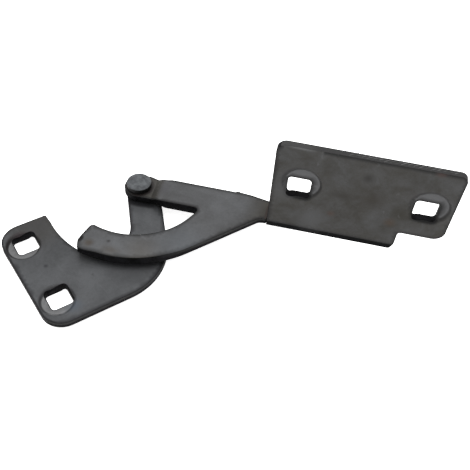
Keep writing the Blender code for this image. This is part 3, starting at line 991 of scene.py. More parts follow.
def finished_piece(name: str, mesh: Any, materials: list[Any]) -> Any:
    """Make an object of a mesh, shaded smooth.

    Args:
        name: The object's name.
        mesh: Its mesh.
        materials: Its materials, in the order of the mesh's numbers.

    Returns:
        The new object.
    """
    for material in materials:
        mesh.materials.append(material)
    mesh.shade_smooth()
    piece = bpy.data.objects.new(name, mesh)
    bpy.context.scene.collection.objects.link(piece)
    return piece


@dataclass
class BodyBracket(PressedPlate):
    """The plate that bolts to the car's body and carries the rivet on its stalk."""

    turn: float = math.radians(44.5)
    level: float = 1.5
    hole: float = 12.6
    pad_floor: float = 8.1
    upper_pad_aside: tuple[float, float] = (-2.2, -1.9)
    lower_pad_aside: tuple[float, float] = (-1.8, -2.1)
    hole_edge: float = 12.8
    hole_across: float = -75.1
    hole_upper: float = -4.4
    hole_pitch: float = 44.4
    top: float = 10.2
    bottom: float = -67.1
    side_lean: float = math.radians(1.7)
    corner: float = 12.6
    tip_across: float = -57.4
    tip_corner: float = 1.1
    tip_flare: float = 1.5
    sweep_radius: float = 57.0
    sweep_start: float = math.radians(178.5)
    stalk_lean: float = math.radians(-68.0 - 44.5)
    stalk_left: float = 7.8
    stalk_right: float = 12.3
    stalk_inner_fillet: float = 19.0
    stalk_outer_fillet: float = 38.0
    stalk_end: float = 9.0
    stalk_end_corner: float = 8.0
    burnish: float = 0.6
    plain_round_hole: float = 1.5

    def __post_init__(self) -> None:
        """Press the two bolt pads."""
        upper, lower = self.hole_centres()
        # The side of each pad's slope that takes wider painted shade.
        shaded_side = Vector((0.06, 1.0))
        upper_pad = Pad(upper, upper + Vector(self.upper_pad_aside), self.hole, self.pad_floor, Push.DOWN,
                        shaded_side, mouth=0.15)
        lower_pad = replace(upper_pad, hole_at=lower, centre=lower + Vector(self.lower_pad_aside), slope_shade=0.4)
        self.pads = [upper_pad, lower_pad]

    def hole_centres(self) -> list[Vector]:
        """Place the two bolt holes.

        Returns:
            Their centres, the upper one first.
        """
        upper = Vector((self.hole_across, self.hole_upper))
        down = Vector((math.sin(self.side_lean), -math.cos(self.side_lean)))
        return [upper, upper + down * self.hole_pitch]

    def outline(self) -> list[Vector]:
        """Outline the bracket on its own axes.

        Returns:
            The points of the outline.
        """
        way = Vector((math.cos(self.stalk_lean), math.sin(self.stalk_lean)))
        right = Vector((-way.y, way.x))
        left_line, right_line = -right * self.stalk_left, right * self.stalk_right
        aside = self.stalk_left + self.stalk_inner_fillet
        reach = self.sweep_radius - self.stalk_inner_fillet
        fillet = way * math.sqrt(reach ** 2 - aside ** 2) - right * aside
        sweep_end = math.atan2(fillet.y, fillet.x) + math.tau
        sweep_way = Vector((-math.sin(sweep_end), math.cos(sweep_end)))
        inner = crossing(polar(self.sweep_radius, sweep_end), sweep_way, left_line, way)
        across = Vector((1.0, 0.0))
        flare = tangent_point(self.sweep_radius, self.sweep_start, -self.tip_flare)
        outer = crossing(right_line, way, Vector((0.0, self.bottom)), across)
        upper, lower = self.hole_centres()
        side_way = (upper - lower).normalized()
        side = upper + Vector((-side_way.y, side_way.x)) * self.hole_edge
        side_top = crossing(side, side_way, Vector((0.0, self.top)), across)
        side_bottom = crossing(side, side_way, Vector((0.0, self.bottom)), across)
        end_left, end_right = left_line - way * self.stalk_end, right_line - way * self.stalk_end
        return rounded_outline([
            (self.tip_across, self.top, self.tip_corner), (*flare, 10.0),
            *arc_corners(self.sweep_radius, self.sweep_start, sweep_end, 1),
            (*inner, self.stalk_inner_fillet), (*end_left, self.stalk_end_corner),
            (*end_right, self.stalk_end_corner), (*outer, self.stalk_outer_fillet),
            (*side_bottom, self.corner), (*side_top, self.corner)])

    def marks(self, point: Vector) -> dict[str, float]:
        """Shade the brighter, burnished upper half of the cut edge.

        Args:
            point: A point of the blank.

        Returns:
            The masks there, none round the bolt holes.
        """
        at_hole = any((point.xy - pad.hole_at).length < pad.floor + self.plain_round_hole
                      for pad in self.pads)
        return {} if at_hole else {"worn": self.burnish * smooth((point.z + 0.2) / 0.9)}

    def place(self, point: Vector) -> Vector:
        """Turn a point of the blank to its place and lift it off the pads."""
        lifted = Vector((point.x, point.y, point.z + self.level + self.thickness / 2.0))
        return Matrix.Rotation(self.turn, 3, "Z") @ lifted


@dataclass
class HoodArm(PressedPlate):
    """The one-piece arm: ear, bar, guide hook and the flange folded up for the hood."""

    level: float = 9.0
    hook_inner: float = 41.6
    hook_outer: float = 60.3
    root_inner: float = math.radians(-28.0)
    tip_inner: float = math.radians(-109.0)
    tip_outer: float = math.radians(-106.3)
    nose_radius: float = 55.2
    nose_angle: float = math.radians(-111.5)
    ear_radius: float = 9.0
    ear_far: float = 9.7
    ear_drop: float = 2.4
    step_start: float = 9.6
    step_length: float = 5.5
    bar_near: float = -10.9
    bar_far: float = 6.9
    bar_far_start: float = 19.0
    bar_crest: float = 8.1
    crest_at: float = 68.0
    slot_corner: float = 2.4
    neck_fillet: float = 5.5
    neck_near: float = -9.5
    neck_length: float = 4.4
    flange_left: float = 81.5
    flange_length: float = 99.3
    flange_face: float = -12.5
    flange_height: float = 62.0
    bend_radius: float = 0.6
    relief: float = 0.3
    step_back: float = 24.8
    step_height: float = 13.0
    step_fillet: float = 2.0
    top_corner: float = 5.5
    outer_corner: float = 4.3
    end_corner: float = 6.5
    foot_corner: float = 8.5
    web_end: float = -9.0
    hole: float = 12.9
    pad_floor: float = 9.4
    pad_aside: tuple[float, float] = (1.5, -3.7)
    hole_inner: float = 15.0
    hole_pitch: float = 69.8
    hole_height: float = 32.3
    # The side of each hood pad's slope that takes wider painted shade.
    pad_shaded_side: tuple[float, float] = (-0.6, -0.8)
    top_lean: float = 1.4
    foot_lean: float = 1.7
    bar_side: float = -20.0
    slot_end: float = -19.0
    bend_step: float = 0.42
    knock_depth: float = 0.9
    knock_radius: float = 2.4
    burnish: float = 0.6

    def __post_init__(self) -> None:
        """Press the two bolt pads into the part of the blank that becomes the flange."""
        y = self.bend_line - self.blank_depth(self.hole_height)
        inner = self.flange_left + self.hole_inner
        for x in (inner, inner + self.hole_pitch):
            hole = Vector((x, y))
            self.pads.append(Pad(hole, hole + Vector(self.pad_aside), self.hole, self.pad_floor, Push.UP,
                                 Vector(self.pad_shaded_side), slope_shade=0.8, mouth=1.0, rim=0.45, rim_scale=1.0))

    @property
    def step_end(self) -> float:
        """Return where the step up from the ear ends."""
        return self.step_start + self.step_length

    @property
    def bend_line(self) -> float:
        """Return where the bend starts on the blank."""
        return self.flange_face + self.thickness + self.bend_radius

    @property
    def middle(self) -> float:
        """Return the bend's radius at the middle of the sheet."""
        return self.bend_radius + self.thickness / 2.0

    @property
    def divide(self) -> float:
        """Return the middle of the relief slot, past which the blank folds."""
        return self.flange_left - self.relief / 2.0

    def blank_depth(self, height: float) -> float:
        """Return how far from the bend line a height above the arm's top lies on the blank."""
        return height - self.bend_radius + self.middle * math.pi / 2.0

    def outline(self) -> list[Vector]:
        """Outline the blank, hook, bar and unfolded flange in one.

        Returns:
            The points of the outline.
        """
        blank_top = self.bend_line - self.blank_depth(self.flange_height)
        blank_step = self.bend_line - self.blank_depth(self.step_height)
        right = self.flange_left + self.flange_length
        relief_x = self.flange_left - self.relief
        slot_way = Vector((-math.sin(self.root_inner), math.cos(self.root_inner)))
        slot = crossing(polar(self.hook_inner, self.root_inner), slot_way,
                        Vector((0.0, self.bar_near)), Vector((1.0, 0.0)))
        neck = Vector((self.flange_left - self.neck_length, self.neck_near))
        root_outer = math.atan2(neck.y, neck.x) - math.acos(self.hook_outer / neck.length)
        return rounded_outline([
            (-self.ear_radius, self.ear_far, self.ear_radius),
            (-self.ear_radius, -self.ear_radius, self.ear_radius),
            (self.step_start, -self.ear_radius, 5.0), (self.step_end, self.bar_near, 5.0),
            (*slot, self.slot_corner),
            *arc_corners(self.hook_inner, self.root_inner, self.tip_inner, 2),
            (*tangent_point(self.hook_inner, self.tip_inner, -2.9), 2.5),
            (*polar(self.nose_radius, self.nose_angle), 3.0),
            (*tangent_point(self.hook_outer, self.tip_outer, -1.6), 1.2),
            *arc_corners(self.hook_outer, self.tip_outer, root_outer, 1),
            (*neck, self.neck_fillet), (relief_x, self.neck_near, 1.0),
            (relief_x, self.bend_line, self.relief / 2.0),
            (self.flange_left, self.bend_line, self.relief / 2.0),
            (self.flange_left, blank_top, self.top_corner), (right, blank_top, self.outer_corner),
            (right, blank_step, self.end_corner), (right - self.step_back, blank_step, self.step_fillet),
            (right - self.step_back, self.web_end, self.foot_corner),
            (self.crest_at, self.bar_crest, 30.0), (self.bar_far_start, self.bar_crest, 10.0),
            (self.step_end, self.bar_far, 6.0), (self.step_start / 2.0, self.ear_far, 5.0)])

    def step(self, point: Vector) -> float:
        """Return a short side near the bend and the ear's step.

        Args:
            point: A point of the blank.

        Returns:
            The longest side allowed there.
        """
        in_bend = point.x > self.divide - 1.0 and abs(self.bend_line - 2.0 - point.y) < 3.2
        in_step = 7.0 < point.x < 17.0 and point.y > self.bar_side
        return self.bend_step if in_bend else 0.5 if in_step else 0.9

    def extra_points(self) -> list[Vector]:
        """Lay rows of points along the bend and columns across the ear's step.

        Returns:
            The points.
        """
        right = self.flange_left + self.flange_length
        rows = [self.bend_line + 0.5 - self.bend_step * n for n in range(13)]
        bend = [Vector((x, y)) for y in rows for x in np.arange(self.divide + 0.2, right, 1.4)]
        columns = [self.step_start - 1.0 + 0.6 * n for n in range(14)]
        return bend + [Vector((x, y)) for x in columns for y in np.arange(-12.0, 10.0, 1.2)]

    def taper(self, point: Vector) -> tuple[float, float]:
        """Lean the hook's outer edge in at its top, and the slot's edge out at its foot.

        Args:
            point: A point of the outline.

        Returns:
            How far the edge leans in at its top, and how far out at its foot.
        """
        if point.length > self.hook_outer - 0.6 and point.y < -11.0 and point.x < self.flange_left:
            past_tip = math.degrees(math.atan2(point.y, point.x) - self.tip_outer)
            return self.top_lean * smooth(past_tip / 10.0) * smooth((60.0 - point.x) / 35.0), 0.0
        if self.slot_end < point.y < self.bar_near + 0.4 and self.step_end < point.x < 40.0:
            past_step, before_end = (point.x - self.step_end) / 5.0, (point.y + 17.5) / 3.0
            return 0.0, self.foot_lean * smooth(past_step) * smooth(before_end)
        return 0.0, 0.0

    def dent(self, point: Vector) -> float:
        """Press in the knock on the hook's nose."""
        away = (Vector(point[:2]) - polar(self.nose_radius - 1.2, self.nose_angle + 0.02)).length
        return -self.knock_depth * max(0.0, 1.0 - away / self.knock_radius)

    def marks(self, point: Vector) -> dict[str, float]:
        """Return the arm's or the flange's own masks at a point of the blank."""
        return self.arm_marks(point) if point.x < self.divide else self.flange_marks(point)

    def arm_marks(self, point: Vector) -> dict[str, float]:
        """Paint rust and painted shade along the crease and over the ear and its step, and the burnished top
        of the arm's cut edge.

        Args:
            point: A point of the blank on the arm's side of the bend.

        Returns:
            The masks there.
        """
        near = on_ear = 0.0
        if point.y > self.bar_side:
            # Rust with painted shade, growing towards the flange, and over the ear and its step.
            near = max(0.0, 1.25 - (self.divide - point.x) / 12.0)
            on_ear = smooth((self.step_end + 1.0 - point.x) / 3.0)
        in_slot = self.slot_end < point.y < 0.0 and point.x < 41.0
        shear = 0.0 if in_slot else self.burnish * smooth(point.z / 0.8) * smooth((point.x - 22.0) / 30.0)
        return {"crease_rust_and_shade": min(1.0, max(near, 0.9 * on_ear)), "worn": shear}

    def flange_marks(self, point: Vector) -> dict[str, float]:
        """Paint the flange's crease with rust and painted shade, its fold, painted shade on its bend, and its
        sheared top.

        Args:
            point: A point of the blank on the flange.

        Returns:
            The masks there.
        """
        top = self.bend_line - self.blank_depth(self.flange_height)
        left = max(0.0, 1.0 - (point.x - self.flange_left) / 2.2) if point.y > top + 30.0 else 0.0
        # Painted shade over the bend and the sheet just beside it.
        bend = smooth((8.1 - self.bend_line + point.y) / 3.0)
        masks = {"crease_rust_and_shade": left, "fold": smooth((self.bend_line - point.y) / 4.0), "bend": bend}
        if point.y < top + 1.2:
            bright = smooth((106.0 - point.x) / 10.0)
            masks |= {"worn": 0.75 + 0.25 * bright, "edge": 0.1 if bright > 0.0 else 0.85}
        return masks

    def place(self, point: Vector) -> Vector:
        """Fold, step and lift a point of the blank.

        Args:
            point: The point, its height counted from the middle of the sheet.

        Returns:
            Its place on the finished arm.
        """
        x, y, z = point
        past = self.bend_line - y
        if x >= self.divide and past > 0.0:
            angle = min(past / self.middle, math.pi / 2.0)
            straight = max(0.0, past - self.middle * math.pi / 2.0)
            radius = self.middle - z
            y = self.bend_line - radius * math.sin(angle)
            z = self.middle - radius * math.cos(angle) + straight
        if x <= self.step_end and y >= -self.hook_inner / 2.0:
            share = min(1.0, (self.step_end - x) / self.step_length)
            drop = self.ear_drop * (1.0 - math.cos(math.pi * share)) / 2.0
            slope = math.atan(self.ear_drop * math.pi * math.sin(math.pi * share) / (2.0 * self.step_length))
            x, z = x - z * math.sin(slope), z * math.cos(slope) - drop
        return Vector((x, y, z + self.level + self.thickness / 2.0))


# Turned pieces


@dataclass
class TurnedPiece:
    """A piece turned about the pivot axis."""

    name: str
    body: Body
    slot: str
    steps: int = 96

    def profile(self) -> list[tuple[float, float]]:
        """Return radius and height of each ring, from the top to the bottom."""
        raise NotImplementedError

    def build(self, finish: Any, origin: Vector) -> Any:
        """Build the piece.

        Args:
            finish: Its material.
            origin: The pivot's place in the row frame, in metres.

        Returns:
            The piece as an object at the origin of the row frame.
        """
        form = bmesh.new()
        # The edge attribute darkens rings as painted shade.
        edge = form.verts.layers.float.new("edge")
        rings: list[list[Any]] = []
        for radius, height in self.profile():
            count = 1 if radius < 1e-6 else self.steps
            ring = []
            for n in range(count):
                at = polar(radius, math.tau * n / self.steps)
                dent = self.dent(at.x, at.y, height)
                vert = form.verts.new(Vector((at.x, at.y, height + dent)) * MM + origin)
                vert[edge] = self.shade(radius, height)
                ring.append(vert)
            rings.append(ring)
        closed = rings if len(rings[0]) == 1 else rings + rings[:1]
        for upper, lower in zip(closed, closed[1:]):
            for n in range(self.steps):
                m = (n + 1) % self.steps
                corners = [upper[n % len(upper)], lower[n % len(lower)],
                           lower[m % len(lower)], upper[m % len(upper)]]
                form.faces.new(list(dict.fromkeys(corners)))
        bmesh.ops.recalc_face_normals(form, faces=form.faces)
        mesh = bpy.data.meshes.new(self.name)
        form.to_mesh(mesh)
        form.free()
        return finished_piece(self.name, mesh, [finish])

    def dent(self, x: float, y: float, height: float) -> float:
        """Return how far the surface lies off its true height."""
        return 0.0

    def shade(self, radius: float, height: float) -> float:
        """Return the share of painted shade on a ring."""
        return 0.0


def rounded_corner(radius: float, height: float, size: float, way: float) -> list[tuple[float, float]]:
    """Round an outer corner by a quarter circle.

    Args:
        radius: The piece's radius there.
        height: The height of the face that the corner belongs to.
        size: The corner's radius.
        way: 1 for a corner at the top, -1 for one at the bottom.

    Returns:
        Radius and height of each ring, from the top to the bottom.
    """
    turns = [math.radians(a) for a in (0.0, 22.5, 45.0, 67.5, 90.0)]
    arc = [(radius - size + size * math.sin(t), height - way * size * (1.0 - math.cos(t))) for t in turns]
    return arc if way > 0.0 else arc[::-1]


@dataclass
class PivotRivet(TurnedPiece):
    """The headed rivet that the arm turns on."""

    head_radius: float = 7.5
    head_top: float = 14.2
    head_bottom: float = 10.9
    shoulder: float = 5.0
    shoulder_end: float = 5.8
    tenon: float = 4.0
    tail_top: float = 1.2
    tail_bottom: float = 0.1
    tail_radius: float = 6.2

    def profile(self) -> list[tuple[float, float]]:
        """Lay out the rivet's rings.

        Returns:
            Radius and height of each ring.
        """
        face = [(self.head_radius * k / 10.0, self.head_top) for k in range(10)]
        tail = [(self.tail_radius * k / 6.0, self.tail_bottom) for k in range(5, -1, -1)]
        return [*face, *rounded_corner(self.head_radius, self.head_top, 0.45, 1.0),
                *rounded_corner(self.head_radius, self.head_bottom, 0.15, -1.0),
                (self.shoulder + 0.1, self.head_bottom), (self.shoulder, self.head_bottom - 0.1),
                (self.shoulder, self.shoulder_end + 0.1), (self.shoulder - 0.1, self.shoulder_end),
                (self.tenon, self.shoulder_end), (self.tenon, self.tail_top),
                *rounded_corner(self.tail_radius, self.tail_top, 0.2, 1.0),
                *rounded_corner(self.tail_radius, self.tail_bottom, 0.35, -1.0), *tail]

    def dent(self, x: float, y: float, height: float) -> float:
        """Return the soft unevenness of the struck head.

        Args:
            x: The point's place across the head.
            y: Its place along the head.
            height: Its true height.

        Returns:
            How far the surface lies off its true height.
        """
        if height < self.head_top - 0.5:
            return 0.0
        return 0.05 * noise.noise(Vector((x * 0.45, y * 0.45, 1.7))) - 0.05

    def shade(self, radius: float, height: float) -> float:
        """Return the share of painted shade, which darkens the head's whole side wall."""
        return 1.0 if height < self.head_top - 0.4 else 0.0


@dataclass
class SpacerWasher(TurnedPiece):
    """The thin washer between the ear and the bracket."""

    hole: float = 5.3
    radius: float = 7.8
    top: float = 6.3
    bottom: float = 5.8

    def profile(self) -> list[tuple[float, float]]:
        """Lay out the washer's rings, which close on themselves.

        Returns:
            Radius and height of each ring.
        """
        return [(self.hole, self.top), (self.hole + 0.3, self.top),
                *rounded_corner(self.radius, self.top, 0.12, 1.0),
                *rounded_corner(self.radius, self.bottom, 0.12, -1.0),
                (self.hole + 0.3, self.bottom), (self.hole, self.bottom)]


# Torn metal, made by Geometry Nodes


@dataclass(frozen=True)
class TornMetal:
    """Small lumps or ridges of torn metal that repeat along a run of a sheared edge."""

    name: str
    start: Point3
    end: Point3
    count: int
    size: Point3
    slant: float
    spread: float
    seed: int

    def tree(self, finish: Any) -> Any:
        """Build the node tree that lays the lumps out.

        Args:
            finish: The material that the lumps take.

        Returns:
            The Geometry Nodes tree, with its sizes as named inputs.
        """
        tree = bpy.data.node_groups.new(self.name + "_layout", "GeometryNodeTree")
        tree.interface.new_socket("Geometry", in_out="INPUT", socket_type="NodeSocketGeometry")
        kinds = {"Start": "Vector", "End": "Vector", "Count": "Int", "Lump Size": "Vector",
                 "Slant": "Vector", "Spread": "Vector", "Seed": "Int"}
        for label, kind in kinds.items():
            tree.interface.new_socket(label, in_out="INPUT", socket_type="NodeSocket" + kind)
        tree.interface.new_socket("Geometry", in_out="OUTPUT", socket_type="NodeSocketGeometry")
        tree.nodes.new("NodeGroupInput").name = "in"
        tree.nodes.new("NodeGroupOutput").name = "out"
        spread, seed = given(tree, "Spread"), given(tree, "Seed")
        line = add_node(tree, "GeometryNodeMeshLine", {
            "Count": given(tree, "Count"), "Start Location": given(tree, "Start"),
            "Offset": given(tree, "End")}, mode="END_POINTS")
        minus = add_node(tree, "ShaderNodeVectorMath", {0: spread, 1: (-1.0, -1.0, -1.0)},
                         operation="MULTIPLY")
        drift = add_node(tree, "FunctionNodeRandomValue", {
            0: Socket(minus, "Vector"), 1: spread, "Seed": seed}, data_type="FLOAT_VECTOR")
        moved = add_node(tree, "GeometryNodeSetPosition", {
            "Geometry": Socket(line, "Mesh"), "Offset": Socket(drift, 0)})
        vary = add_node(tree, "FunctionNodeRandomValue", {
            0: (0.6, 0.55, 0.5), 1: (1.3, 1.2, 1.15), "Seed": seed}, data_type="FLOAT_VECTOR")
        scaled = add_node(tree, "ShaderNodeVectorMath", {0: given(tree, "Lump Size"), 1: Socket(vary, 0)},
                          operation="MULTIPLY")
        turned = add_node(tree, "FunctionNodeEulerToRotation", {0: given(tree, "Slant")})
        lump = add_node(tree, "GeometryNodeMeshIcoSphere", {"Radius": 1.0, "Subdivisions": 2})
        placed = add_node(tree, "GeometryNodeInstanceOnPoints", {
            "Points": Socket(moved, "Geometry"), "Instance": Socket(lump, "Mesh"),
            "Rotation": Socket(turned, 0), "Scale": Socket(scaled, "Vector")})
        real = add_node(tree, "GeometryNodeRealizeInstances", {"Geometry": Socket(placed, "Instances")})
        dressed = add_node(tree, "GeometryNodeSetMaterial", {
            "Geometry": Socket(real, "Geometry"), "Material": finish})
        put_out(tree, {"Geometry": Socket(dressed, "Geometry")})
        return tree

    def build(self, finish: Any, pivot: Vector) -> Any:
        """Build the lumps as one plain mesh.

        Args:
            finish: Their material.
            pivot: The pivot's place in the row frame, in metres.

        Returns:
            The lumps as an object at the origin of the row frame.
        """
        seedling = bpy.data.objects.new(self.name + "_seed", bpy.data.meshes.new(self.name + "_seed"))
        bpy.context.scene.collection.objects.link(seedling)
        modifier = seedling.modifiers.new("layout", "NODES")
        tree = self.tree(finish)
        modifier.node_group = tree
        values = {"Start": Vector(self.start) * MM + pivot, "End": Vector(self.end) * MM + pivot,
                  "Count": self.count, "Lump Size": Vector(self.size) * MM, "Slant": (0.0, 0.0, self.slant),
                  "Spread": (self.spread * MM, self.spread * MM, 0.0), "Seed": self.seed}
        for socket in tree.interface.items_tree:
            if socket.in_out == "INPUT" and socket.name in values:
                modifier[socket.identifier] = values[socket.name]
        mesh = bpy.data.meshes.new_from_object(seedling.evaluated_get(bpy.context.evaluated_depsgraph_get()))
        bpy.data.objects.remove(seedling)
        mesh.materials.clear()
        return finished_piece(self.name, mesh, [finish])


# Studio


@dataclass(frozen=True)
class Studio:
    """The pale floor, the soft lights and the camera."""

    camera_from_pivot: Point3 = (100.65, -273.59, 300.5)
    right: Point3 = (0.97710337, 0.20466153, 0.05816076)
    up: Point3 = (-0.19233535, 0.73275904, 0.65274137)
    back: Point3 = (0.09097322, -0.64898216, 0.75534497)
    lens: float = 50.48
    shift: float = 0.00106

    def floor(self) -> None:
        """Lay the floor just under the pads."""
        mesh = bpy.data.meshes.new("pale_floor")
        span, height = 4.0, -0.0004
        mesh.from_pydata([(-span, -span, height), (span, -span, height), (span, span, height),
                          (-span, span, height)], [], [(0, 1, 2, 3)])
        paint = bpy.data.materials.new("pale_paper")
        paint.use_nodes = True
        shader = paint.node_tree.nodes["Principled BSDF"]
        shader.inputs["Base Color"].default_value = (0.92, 0.92, 0.92, 1.0)
        shader.inputs["Emission Color"].default_value = (1.0, 1.0, 1.0, 1.0)
        shader.inputs["Emission Strength"].default_value = 0.75
        shader.inputs["Roughness"].default_value = 0.9
        shader.inputs["Specular IOR Level"].default_value = 0.1
        mesh.materials.append(paint)
        ground = bpy.data.objects.new("pale_floor", mesh)
        bpy.context.scene.collection.objects.link(ground)
        ground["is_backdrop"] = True

    def lamp(self, name: str, place: Point3, size: float, power: float, colour: Colour, aim: Vector) -> None:
        """Hang a soft square light.

        Args:
            name: The light's name.
            place: Its place from the pivot, in metres.
            size: Its width, in metres.
            power: Its power, in watts.
            colour: Its colour.
            aim: The point it looks at, in metres.
        """
        data = bpy.data.lights.new(name, "AREA")
        data.shape, data.size, data.energy, data.color = "SQUARE", size, power, colour
        light = bpy.data.objects.new(name, data)
        light.location = aim + Vector(place)
        light.rotation_euler = (aim - light.location).to_track_quat("-Z", "Y").to_euler()
        bpy.context.scene.collection.objects.link(light)

    def lights(self, aim: Vector) -> None:
        """Light the hinge from above and behind, with a soft fill from all round.

        Args:
            aim: The point that the lights look at, in metres.
        """
        self.lamp("key_behind", (-0.25, 0.75, 0.95), 0.9, 7.0, (0.97, 0.985, 1.0), aim)
        self.lamp("overhead", (0.0, 0.05, 1.3), 1.4, 19.0, (1.0, 1.0, 1.0), aim)
        world = bpy.data.worlds.new("studio_air")
        world.use_nodes = True
        air = world.node_tree.nodes["Background"]
        air.inputs["Color"].default_value = (1.0, 0.99, 0.975, 1.0)
        air.inputs["Strength"].default_value = 0.95
        bpy.context.scene.world = world

    def camera(self, pivot: Vector) -> None:
        """Set the camera where the photograph was taken from.

        Args:
            pivot: The pivot's place in the row frame, in metres.
        """
        data = bpy.data.cameras.new("photo_view")
        data.lens, data.sensor_width = self.lens, 36.0
        data.shift_x, data.shift_y = -self.shift, self.shift
        camera = bpy.data.objects.new("photo_view", data)
        turned = Matrix((self.right, self.up, self.back)).transposed().to_4x4()
        place = Vector((pivot.x, pivot.y, 0.0)) + Vector(self.camera_from_pivot) * MM
        camera.matrix_world = Matrix.Translation(place) @ turned
        bpy.context.scene.collection.objects.link(camera)
        bpy.context.scene.camera = camera

    def set_up(self, pivot: Vector) -> None:
        """Place everything that isn't the hinge.

        Args:
            pivot: The pivot's place in the row frame, in metres.
        """
        low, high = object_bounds()
        self.floor()
        self.lights((low + high) / 2.0)
        self.camera(pivot)
        bpy.context.scene.view_settings.view_transform = "Standard"


# The hinge


BRACKET_SHEET = SheetFinish(
    "bracket_mill_steel", light=(0.045, 0.0465, 0.0492), dark=(0.0305, 0.0315, 0.0332),
    # The slope tint is painted shade on the pads' slopes.
    edge=(0.005, 0.005, 0.006), pad=(0.088, 0.089, 0.091), slope=(0.010, 0.0088, 0.0092),
    stretch=(4.0, 1.2, 1.0),
    stains_and_shades=(
        StainAndShade((-4.0, 18.0, 5.5), 22.0, (0.024, 0.023, 0.022), 0.85, core=6.0, ragged=5.0),
        StainAndShade((-10.6, 8.7, 5.5), 6.0, (0.024, 0.017, 0.020), 0.6),
        StainAndShade((12.0, -7.8, 5.5), 2.0, (0.012, 0.012, 0.014), 0.8, ragged=1.2),
        StainAndShade((39.1, -7.0, 5.5), 1.4, (0.020, 0.020, 0.021), 0.5, ragged=1.0),
        StainAndShade((36.4, -29.1, 5.5), 7.0, (0.037, 0.047, 0.060), 0.6),
        StainAndShade((59.1, -4.8, 5.5), 12.0, (0.031, 0.032, 0.034), 0.6, squash=(1.0, 1.6, 1.0)),
        StainAndShade((41.0, 23.0, 5.5), 10.0, (0.026, 0.023, 0.026), 0.75, squash=(1.0, 1.5, 1.0)),
        # Pale scuffs with a painted highlight over the lower pad's near slope.
        StainAndShade((27.5, -37.0, 4.6), 5.0, (0.170, 0.170, 0.175), 0.75, ragged=3.0, squash=(1.0, 7.0, 1.0)),
        StainAndShade((21.5, -29.5, 4.6), 4.0, (0.120, 0.120, 0.125), 0.6, ragged=3.5, squash=(4.0, 1.0, 1.0)),
        StainAndShade((32.5, -34.0, 4.6), 3.5, (0.110, 0.112, 0.118), 0.6, ragged=4.0, squash=(1.5, 1.5, 1.0)),
        # Painted shadow on the stalk under the ear and the bar's near edge.
        StainAndShade((47.0, 51.5, 5.5), 15.0, (0.005, 0.005, 0.006), 0.9, core=6.0, ragged=2.0,
              squash=(1.0, 4.2, 1.0)),
        StainAndShade((38.0, 51.0, 5.5), 4.0, (0.004, 0.004, 0.004), 0.9, ragged=1.5)))

ARM_SHEET = SheetFinish(
    "arm_mill_steel", light=(0.054, 0.0555, 0.0585), dark=(0.039, 0.0392, 0.0402),
    # The slope and bend tints are painted shade; the crease tint is rust with painted shade.
    edge=(0.007, 0.007, 0.007), pad=(0.060, 0.0605, 0.063), slope=(0.014, 0.014, 0.0142),
    crease_rust_and_shade=(0.026, 0.0243, 0.0212), fold=(0.037, 0.0372, 0.0376), patch=(0.0225, 0.0211, 0.0186),
    bend=(0.006, 0.0062, 0.0064), stretch=(1.2, 4.0, 1.0),
    stains_and_shades=(
        StainAndShade((42.3, 12.4, 13.0), 1.9, (0.010, 0.009, 0.009), 0.8, ragged=1.2),
        StainAndShade((31.9, 8.6, 13.0), 4.5, (0.030, 0.023, 0.017), 0.8),
        StainAndShade((45.5, 6.5, 13.0), 9.0, (0.036, 0.032, 0.028), 0.7, ragged=6.0, squash=(1.0, 1.8, 1.0)),
        StainAndShade((25.0, 10.5, 12.5), 3.8, (0.002, 0.002, 0.002), 0.97, core=1.9, ragged=0.8),
        StainAndShade((61.7, 10.3, 13.0), 14.0, (0.044, 0.040, 0.035), 0.5),
        StainAndShade((126.2, 57.5, 13.0), 11.0, (0.018, 0.0128, 0.0108), 0.85, core=6.0, squash=(5.5, 1.0, 1.0)),
        # Painted shadow round the rivet head, and painted shade on the ear below it.
        StainAndShade((45.05, 61.3, 10.6), 9.8, (0.008, 0.006, 0.006), 0.9, core=8.2, ragged=1.0),
        StainAndShade((38.0, 55.0, 10.6), 8.0, (0.010, 0.010, 0.010), 0.85, core=2.0),
        StainAndShade((61.5, 61.0, 13.0), 7.0, (0.036, 0.035, 0.039), 0.6, squash=(1.4, 1.0, 1.0)),
        StainAndShade((82.0, 22.0, 13.0), 20.0, (0.052, 0.057, 0.063), 0.5, ragged=6.0),
        StainAndShade((176.7, 48.8, 62.4), 4.8, (0.013, 0.012, 0.011), 0.85, ragged=2.0),
        StainAndShade((164.8, 48.8, 46.5), 7.5, (0.018, 0.0165, 0.0145), 0.85, ragged=3.0, squash=(0.6, 1.0, 1.4)),
        StainAndShade((182.1, 48.8, 47.2), 9.5, (0.017, 0.0148, 0.0118), 0.85, ragged=4.0),
        StainAndShade((199.1, 48.8, 39.9), 10.5, (0.017, 0.0155, 0.0120), 0.85, ragged=4.0),
        StainAndShade((161.8, 48.8, 31.2), 3.5, (0.034, 0.021, 0.016), 0.7),
        StainAndShade((140.0, 48.9, 74.4), 11.0, (0.080, 0.081, 0.083), 0.7, squash=(1.0, 1.0, 7.0)),
        StainAndShade((152.0, 48.8, 24.0), 15.0, (0.042, 0.0425, 0.0437), 0.75, ragged=6.0),
        StainAndShade((134.0, 48.8, 42.0), 11.0, (0.039, 0.0393, 0.0400), 0.7, ragged=5.0),
        StainAndShade((211.8, 50.8, 75.0), 5.0, (0.055, 0.031, 0.027), 0.6),
        StainAndShade((194.7, 48.8, 32.9), 5.0, (0.034, 0.023, 0.016), 0.7)))

TORN_METAL = (
    TornMetal("far_edge_burr", (60.6, 8.1, 12.5), (65.6, 7.4, 12.5), 5, (1.5, 0.8, 0.8), -0.12, 0.3, 4),
    TornMetal("hook_inner_burr", (7.5, -41.1, 12.7), (14.5, -39.6, 12.7), 7, (1.0, 0.5, 0.4), 0.2, 0.2, 9),
    TornMetal("flange_shear_ridges", (121.0, -10.4, 75.0), (174.5, -10.4, 75.0), 19, (2.6, 0.32, 0.2),
              0.6, 0.3, 6))

